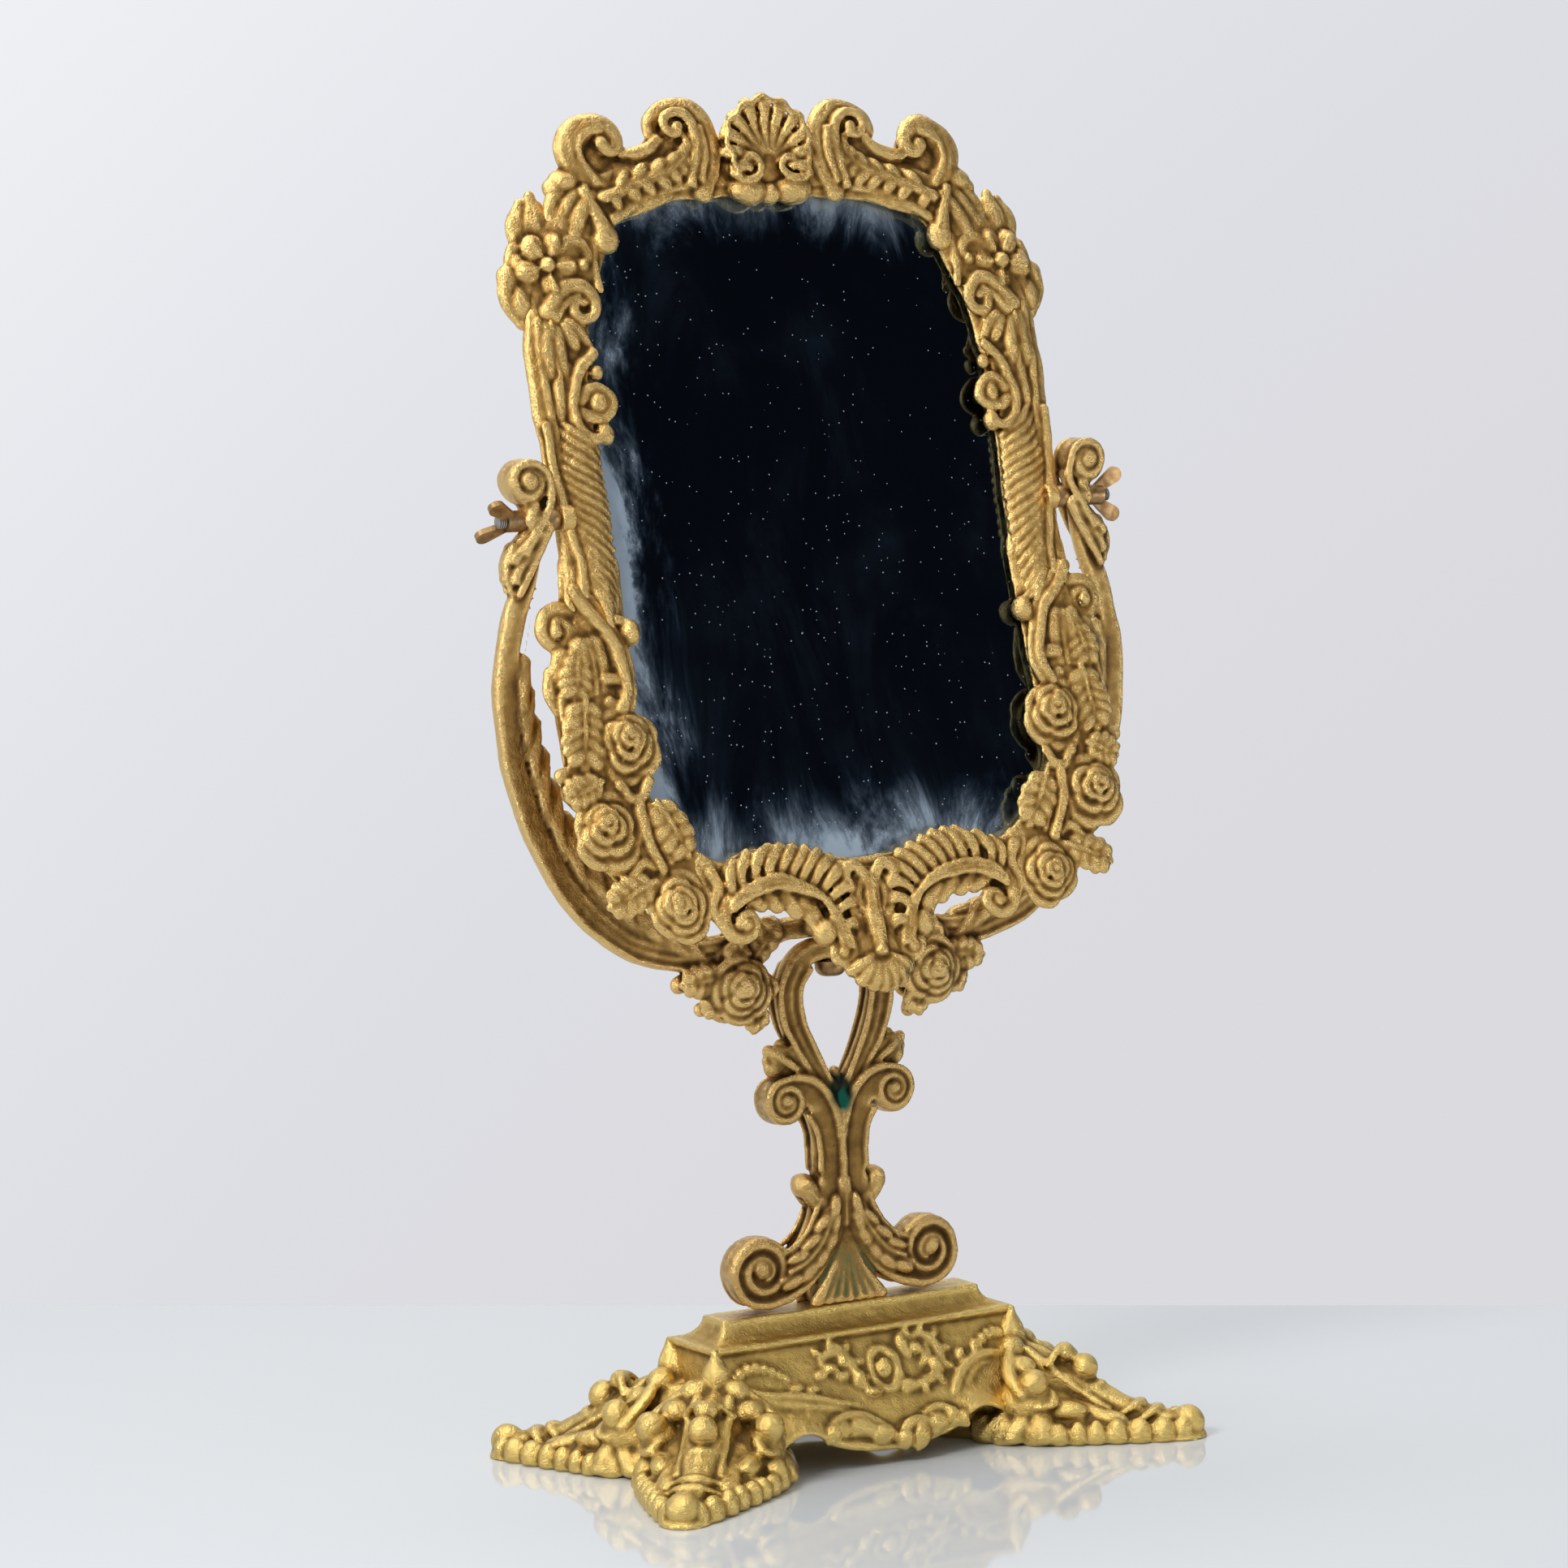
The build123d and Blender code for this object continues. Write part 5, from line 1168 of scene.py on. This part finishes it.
floor_mesh.transform(Matrix.Translation(floor_middle) @ Matrix.Rotation(math.radians(floor_turn), 4, "Z"))
floor = bpy.data.objects.new("tabletop", floor_mesh)
bpy.context.collection.objects.link(floor)
tabletop, tree = new_material("glass_over_pale_paper")
shader = node(
    tree, "ShaderNodeBsdfPrincipled", Base_Color=linear("#D6DADC"), Roughness=0.05, Specular_IOR_Level=0.42,
)
node(tree, "ShaderNodeOutputMaterial", Surface=shader.outputs[0])
floor_mesh.materials.append(tabletop)
floor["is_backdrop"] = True
world = bpy.data.worlds.new("studio")
bpy.context.scene.world = world
world.use_nodes = True
tree = world.node_tree
tree.nodes.clear()
rays = node(tree, "ShaderNodeLightPath")
toward = node(tree, "ShaderNodeTexCoord").outputs["Generated"]
parts = node(tree, "ShaderNodeSeparateXYZ", Vector=toward)
weighted = {"operation": "MULTIPLY_ADD"}
# What glass and brass see of the room: bright behind the stand, above and to the left, dark in front.
room = node(tree, "ShaderNodeMath", weighted, _0=parts.outputs["Y"], _1=0.30, _2=0.55).outputs[0]
room = node(tree, "ShaderNodeMath", weighted, _0=parts.outputs["Z"], _1=0.40, _2=room).outputs[0]
room = node(tree, "ShaderNodeMath", weighted, _0=parts.outputs["X"], _1=-0.35, _2=room).outputs[0]
room = ramp(tree, room, [
    (0.0, linear("#9A9EA4")), (0.12, linear("#7C8188")), (0.18, linear("#2E333C")), (0.30, linear("#2A2F38")),
    (0.37, linear("#8F9499")), (0.60, linear("#E0E1E5")),
])
# The backdrop that the camera sees, with painted light: paler to the left and above.
shade = node(tree, "ShaderNodeMath", weighted, _0=parts.outputs["X"], _1=-1.6, _2=1.3).outputs[0]
shade = node(tree, "ShaderNodeMath", weighted, _0=parts.outputs["Z"], _1=1.6, _2=shade).outputs[0]
shade = ramp(tree, shade, [
    (0.2, linear("#DBDADF")), (0.42, linear("#DDDEE3")), (0.62, linear("#E3E4E9")), (0.92, linear("#EFF1F5")),
])
backdrop = node(tree, "ShaderNodeBackground", Color=shade, Strength=1.0)
seen = node(tree, "ShaderNodeBackground", Color=room, Strength=1.0)
glow = node(tree, "ShaderNodeBackground", Color=linear("#E4E6EA"), Strength=0.62)
glossy, through = rays.outputs["Is Glossy Ray"], rays.outputs["Is Transmission Ray"]
reflected = node(tree, "ShaderNodeMath", {"operation": "MAXIMUM"}, _0=glossy, _1=through).outputs[0]
mixed = node(tree, "ShaderNodeMixShader", Fac=reflected, _1=glow.outputs[0], _2=seen.outputs[0])
straight = rays.outputs["Is Camera Ray"]
mixed = node(tree, "ShaderNodeMixShader", Fac=straight, _1=mixed.outputs[0], _2=backdrop.outputs[0])
node(tree, "ShaderNodeOutputWorld", Surface=mixed.outputs[0])
aim = Vector((0, 0, 0.22))
for name, place, size, watts in [
    ("key", (-1.2, -0.5, 1.1), 0.5, 14),
    ("fill", (1.1, -1.2, 0.12), 0.5, 7),
    ("top", (0.0, 0.3, 1.6), 0.7, 9),
]:
    lamp_data = bpy.data.lights.new(name, "AREA")
    lamp_data.size = size
    lamp_data.energy = watts
    lamp = bpy.data.objects.new(name, lamp_data)
    bpy.context.collection.objects.link(lamp)
    lamp.visible_camera = False
    lamp.location = place
    lamp.rotation_mode = "QUATERNION"
    lamp.rotation_quaternion = (aim - Vector(place)).to_track_quat("-Z", "Y")
# The low fill lamp would glare in the glossy tabletop from behind, so it doesn't light the tabletop.
spared = bpy.data.collections.new("spared_by_fill")
spared.objects.link(floor)
spared.collection_objects[0].light_linking.link_state = "EXCLUDE"
bpy.data.objects["fill"].light_linking.receiver_collection = spared

# Mirror. Plain float glass, silvered behind: it shows the dark room in front of it, and its silver is
# painted a dark blue-grey, a painted reflection that darkens it further. It has a film of dust, smears
# wiped in 26 mm strokes, specks, and a pale bloom along the left, lower and top edges.


def coat(finish, *names):
    """Gives pieces that are kept as the CAD drew them their finish."""
    for name in names:
        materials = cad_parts[name].data.materials
        materials.clear()
        materials.append(finish)


material, tree = new_material("silvered_glass_painted_dark")
where = node(tree, "ShaderNodeTexCoord").outputs["Object"]
spot = node(tree, "ShaderNodeSeparateXYZ", Vector=where)
smear_place = node(tree, "ShaderNodeMapping", Vector=where, Rotation=(0, 0.5, 0), Scale=(1, 1, 0.35))
smears = node(
    tree, "ShaderNodeTexNoise", Vector=smear_place.outputs[0], Scale=38.0, Detail=7.0, Roughness=0.72,
    Distortion=0.6,
).outputs[0]
broad = node(tree, "ShaderNodeTexNoise", Vector=where, Scale=14.0, Detail=4.0, Roughness=0.6).outputs[0]
film = node(tree, "ShaderNodeMapRange", Value=smears, From_Min=0.42, From_Max=0.80, To_Max=0.22).outputs[0]
patch = node(tree, "ShaderNodeMapRange", Value=broad, From_Min=0.42, From_Max=0.75).outputs[0]
film = node(tree, "ShaderNodeMath", {"operation": "MULTIPLY"}, _0=film, _1=patch).outputs[0]
ragged = node(tree, "ShaderNodeMath", {"operation": "MULTIPLY_ADD"}, _0=smears, _1=0.05, _2=-0.025).outputs[0]
smooth = {"interpolation_type": "SMOOTHSTEP"}
left = node(tree, "ShaderNodeMath", {"operation": "SUBTRACT"}, _0=ragged, _1=spot.outputs["X"]).outputs[0]
left = node(
    tree, "ShaderNodeMapRange", smooth, Value=left, From_Min=0.052, From_Max=0.075, To_Max=0.74,
).outputs[0]
below = node(tree, "ShaderNodeMath", {"operation": "SUBTRACT"}, _0=ragged, _1=spot.outputs["Z"]).outputs[0]
below = node(
    tree, "ShaderNodeMapRange", smooth, Value=below, From_Min=-0.210, From_Max=-0.182, To_Max=0.52,
).outputs[0]
above = node(tree, "ShaderNodeMath", {"operation": "ADD"}, _0=ragged, _1=spot.outputs["Z"]).outputs[0]
above = node(
    tree, "ShaderNodeMapRange", smooth, Value=above, From_Min=0.373, From_Max=0.396, To_Max=0.55,
).outputs[0]
bloom = node(tree, "ShaderNodeMath", {"operation": "MAXIMUM"}, _0=left, _1=below).outputs[0]
bloom = node(tree, "ShaderNodeMath", {"operation": "MAXIMUM"}, _0=bloom, _1=above).outputs[0]
wiped = node(tree, "ShaderNodeMapRange", Value=smears, From_Min=0.36, From_Max=0.56, To_Min=0.6).outputs[0]
bloom = node(tree, "ShaderNodeMath", {"operation": "MULTIPLY"}, _0=bloom, _1=wiped).outputs[0]
# One cell of 2 mm in several holds a speck of about 0.4 mm, and more of them where the film is thick.
cells = node(tree, "ShaderNodeTexVoronoi", Vector=where, Scale=500.0)
chance = node(tree, "ShaderNodeSeparateColor", Color=cells.outputs["Color"]).outputs[0]
small = node(
    tree, "ShaderNodeMath", {"operation": "LESS_THAN"}, _0=cells.outputs["Distance"], _1=0.11,
).outputs[0]
crowd = node(tree, "ShaderNodeMath", {"operation": "MULTIPLY_ADD"}, _0=broad, _1=1.6, _2=chance).outputs[0]
some = node(tree, "ShaderNodeMath", {"operation": "GREATER_THAN"}, _0=crowd, _1=1.42).outputs[0]
specks = node(tree, "ShaderNodeMath", {"operation": "MULTIPLY"}, _0=small, _1=some).outputs[0]
specks = node(tree, "ShaderNodeMath", {"operation": "MULTIPLY"}, _0=specks, _1=0.6).outputs[0]
dust = node(tree, "ShaderNodeMath", {"operation": "ADD", "use_clamp": True}, _0=film, _1=bloom).outputs[0]
dust = node(tree, "ShaderNodeMath", {"operation": "MAXIMUM"}, _0=dust, _1=specks).outputs[0]
# Painted reflection: the clean silver is painted dark blue-grey, far darker than real silvering; the dust is
# pale.
colour = ramp(tree, dust, [(0.0, linear("#4A525C")), (0.06, linear("#46586A")), (0.5, linear("#A3B3C2"))])
metal = node(tree, "ShaderNodeMath", {"operation": "SUBTRACT"}, _0=1.0, _1=dust).outputs[0]
rough = node(tree, "ShaderNodeMapRange", Value=dust, From_Max=0.5, To_Min=0.025, To_Max=0.35).outputs[0]
shader = node(tree, "ShaderNodeBsdfPrincipled", Base_Color=colour, Metallic=metal, Roughness=rough)
node(tree, "ShaderNodeOutputMaterial", Surface=shader.outputs[0])
coat(material, "mirror_plate")

# Thumb nuts, spacer beads, bolt, washers and clips. Turned and pressed brass, redder and smoother
# than the castings, with turning marks of 0.4 mm and a brown film in clouds of 4 mm.
material, tree = new_material("turned_brass")
where = node(tree, "ShaderNodeTexCoord").outputs["Object"]
cloud = node(tree, "ShaderNodeTexNoise", Vector=where, Scale=240.0, Detail=4.0, Roughness=0.6).outputs[0]
turned = node(tree, "ShaderNodeTexNoise", Vector=where, Scale=2600.0, Detail=2.0).outputs[0]
colour = ramp(tree, cloud, [(0.35, linear("#BC9A6C")), (0.55, linear("#9A7A52")), (0.75, linear("#644A30"))])
rough = ramp(tree, cloud, [(0.35, 0.4), (0.75, 0.55)])
bump = node(tree, "ShaderNodeBump", Strength=0.2, Distance=0.0001, Height=turned).outputs[0]
shader = node(tree, "ShaderNodeBsdfPrincipled", Base_Color=colour, Metallic=1.0, Roughness=rough, Normal=bump)
node(tree, "ShaderNodeOutputMaterial", Surface=shader.outputs[0])
coat(
    material, "wing_nut_left", "wing_nut_right", "spacer_bead_left", "spacer_bead_right", "yoke_bolt",
    "yoke_washer", "base_washers", "retaining_clips",
)

# Pivot studs and screws. Bright mild steel with a rolled thread of 0.7 mm pitch, dulled by handling.
material, tree = new_material("threaded_steel")
where = node(tree, "ShaderNodeTexCoord").outputs["Object"]
along = node(tree, "ShaderNodeSeparateXYZ", Vector=where).outputs["X"]
pitch = 0.0007
turns = node(tree, "ShaderNodeMath", {"operation": "MULTIPLY"}, _0=along, _1=2 * math.pi / pitch).outputs[0]
thread = node(tree, "ShaderNodeMath", {"operation": "SINE"}, _0=turns).outputs[0]
cloud = node(tree, "ShaderNodeTexNoise", Vector=where, Scale=400.0, Detail=3.0).outputs[0]
colour = ramp(tree, cloud, [(0.35, linear("#A9A59E")), (0.7, linear("#6F6A62"))])
bump = node(tree, "ShaderNodeBump", Strength=0.8, Distance=0.0003, Height=thread).outputs[0]
shader = node(tree, "ShaderNodeBsdfPrincipled", Base_Color=colour, Metallic=1.0, Roughness=0.38, Normal=bump)
node(tree, "ShaderNodeOutputMaterial", Surface=shader.outputs[0])
coat(material, "pivot_stud_left", "pivot_stud_right", "base_screws", "clip_screws")

# Back board and card. The board is thin stained plywood, its grain upright in streaks of 5 by 80 mm;
# the card behind the glass is grey pulp with flecks of 1 mm, and only its edge can be seen.
material, tree = new_material("stained_plywood")
where = node(tree, "ShaderNodeTexCoord").outputs["Object"]
stretched = node(tree, "ShaderNodeMapping", Vector=where, Scale=(60, 60, 4))
grain = node(
    tree, "ShaderNodeTexNoise", Vector=stretched.outputs[0], Scale=3.0, Detail=8.0, Roughness=0.65,
    Distortion=0.4,
).outputs[0]
pores = node(tree, "ShaderNodeTexNoise", Vector=stretched.outputs[0], Scale=22.0, Detail=3.0).outputs[0]
colour = ramp(tree, grain, [(0.3, linear("#6B4A30")), (0.5, linear("#7F5A3B")), (0.7, linear("#4E3422"))])
bump = node(tree, "ShaderNodeBump", Strength=0.4, Distance=0.0002, Height=pores).outputs[0]
shader = node(tree, "ShaderNodeBsdfPrincipled", Base_Color=colour, Roughness=0.62, Normal=bump)
node(tree, "ShaderNodeOutputMaterial", Surface=shader.outputs[0])
coat(material, "back_board")
material, tree = new_material("grey_pulp_card")
where = node(tree, "ShaderNodeTexCoord").outputs["Object"]
pulp = node(tree, "ShaderNodeTexNoise", Vector=where, Scale=900.0, Detail=5.0, Roughness=0.7).outputs[0]
colour = ramp(tree, pulp, [(0.35, linear("#8E8779")), (0.65, linear("#A59E8F"))])
bump = node(tree, "ShaderNodeBump", Strength=0.5, Distance=0.0002, Height=pulp).outputs[0]
shader = node(tree, "ShaderNodeBsdfPrincipled", Base_Color=colour, Roughness=0.9, Normal=bump)
node(tree, "ShaderNodeOutputMaterial", Surface=shader.outputs[0])
coat(material, "backing_card")

low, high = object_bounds()
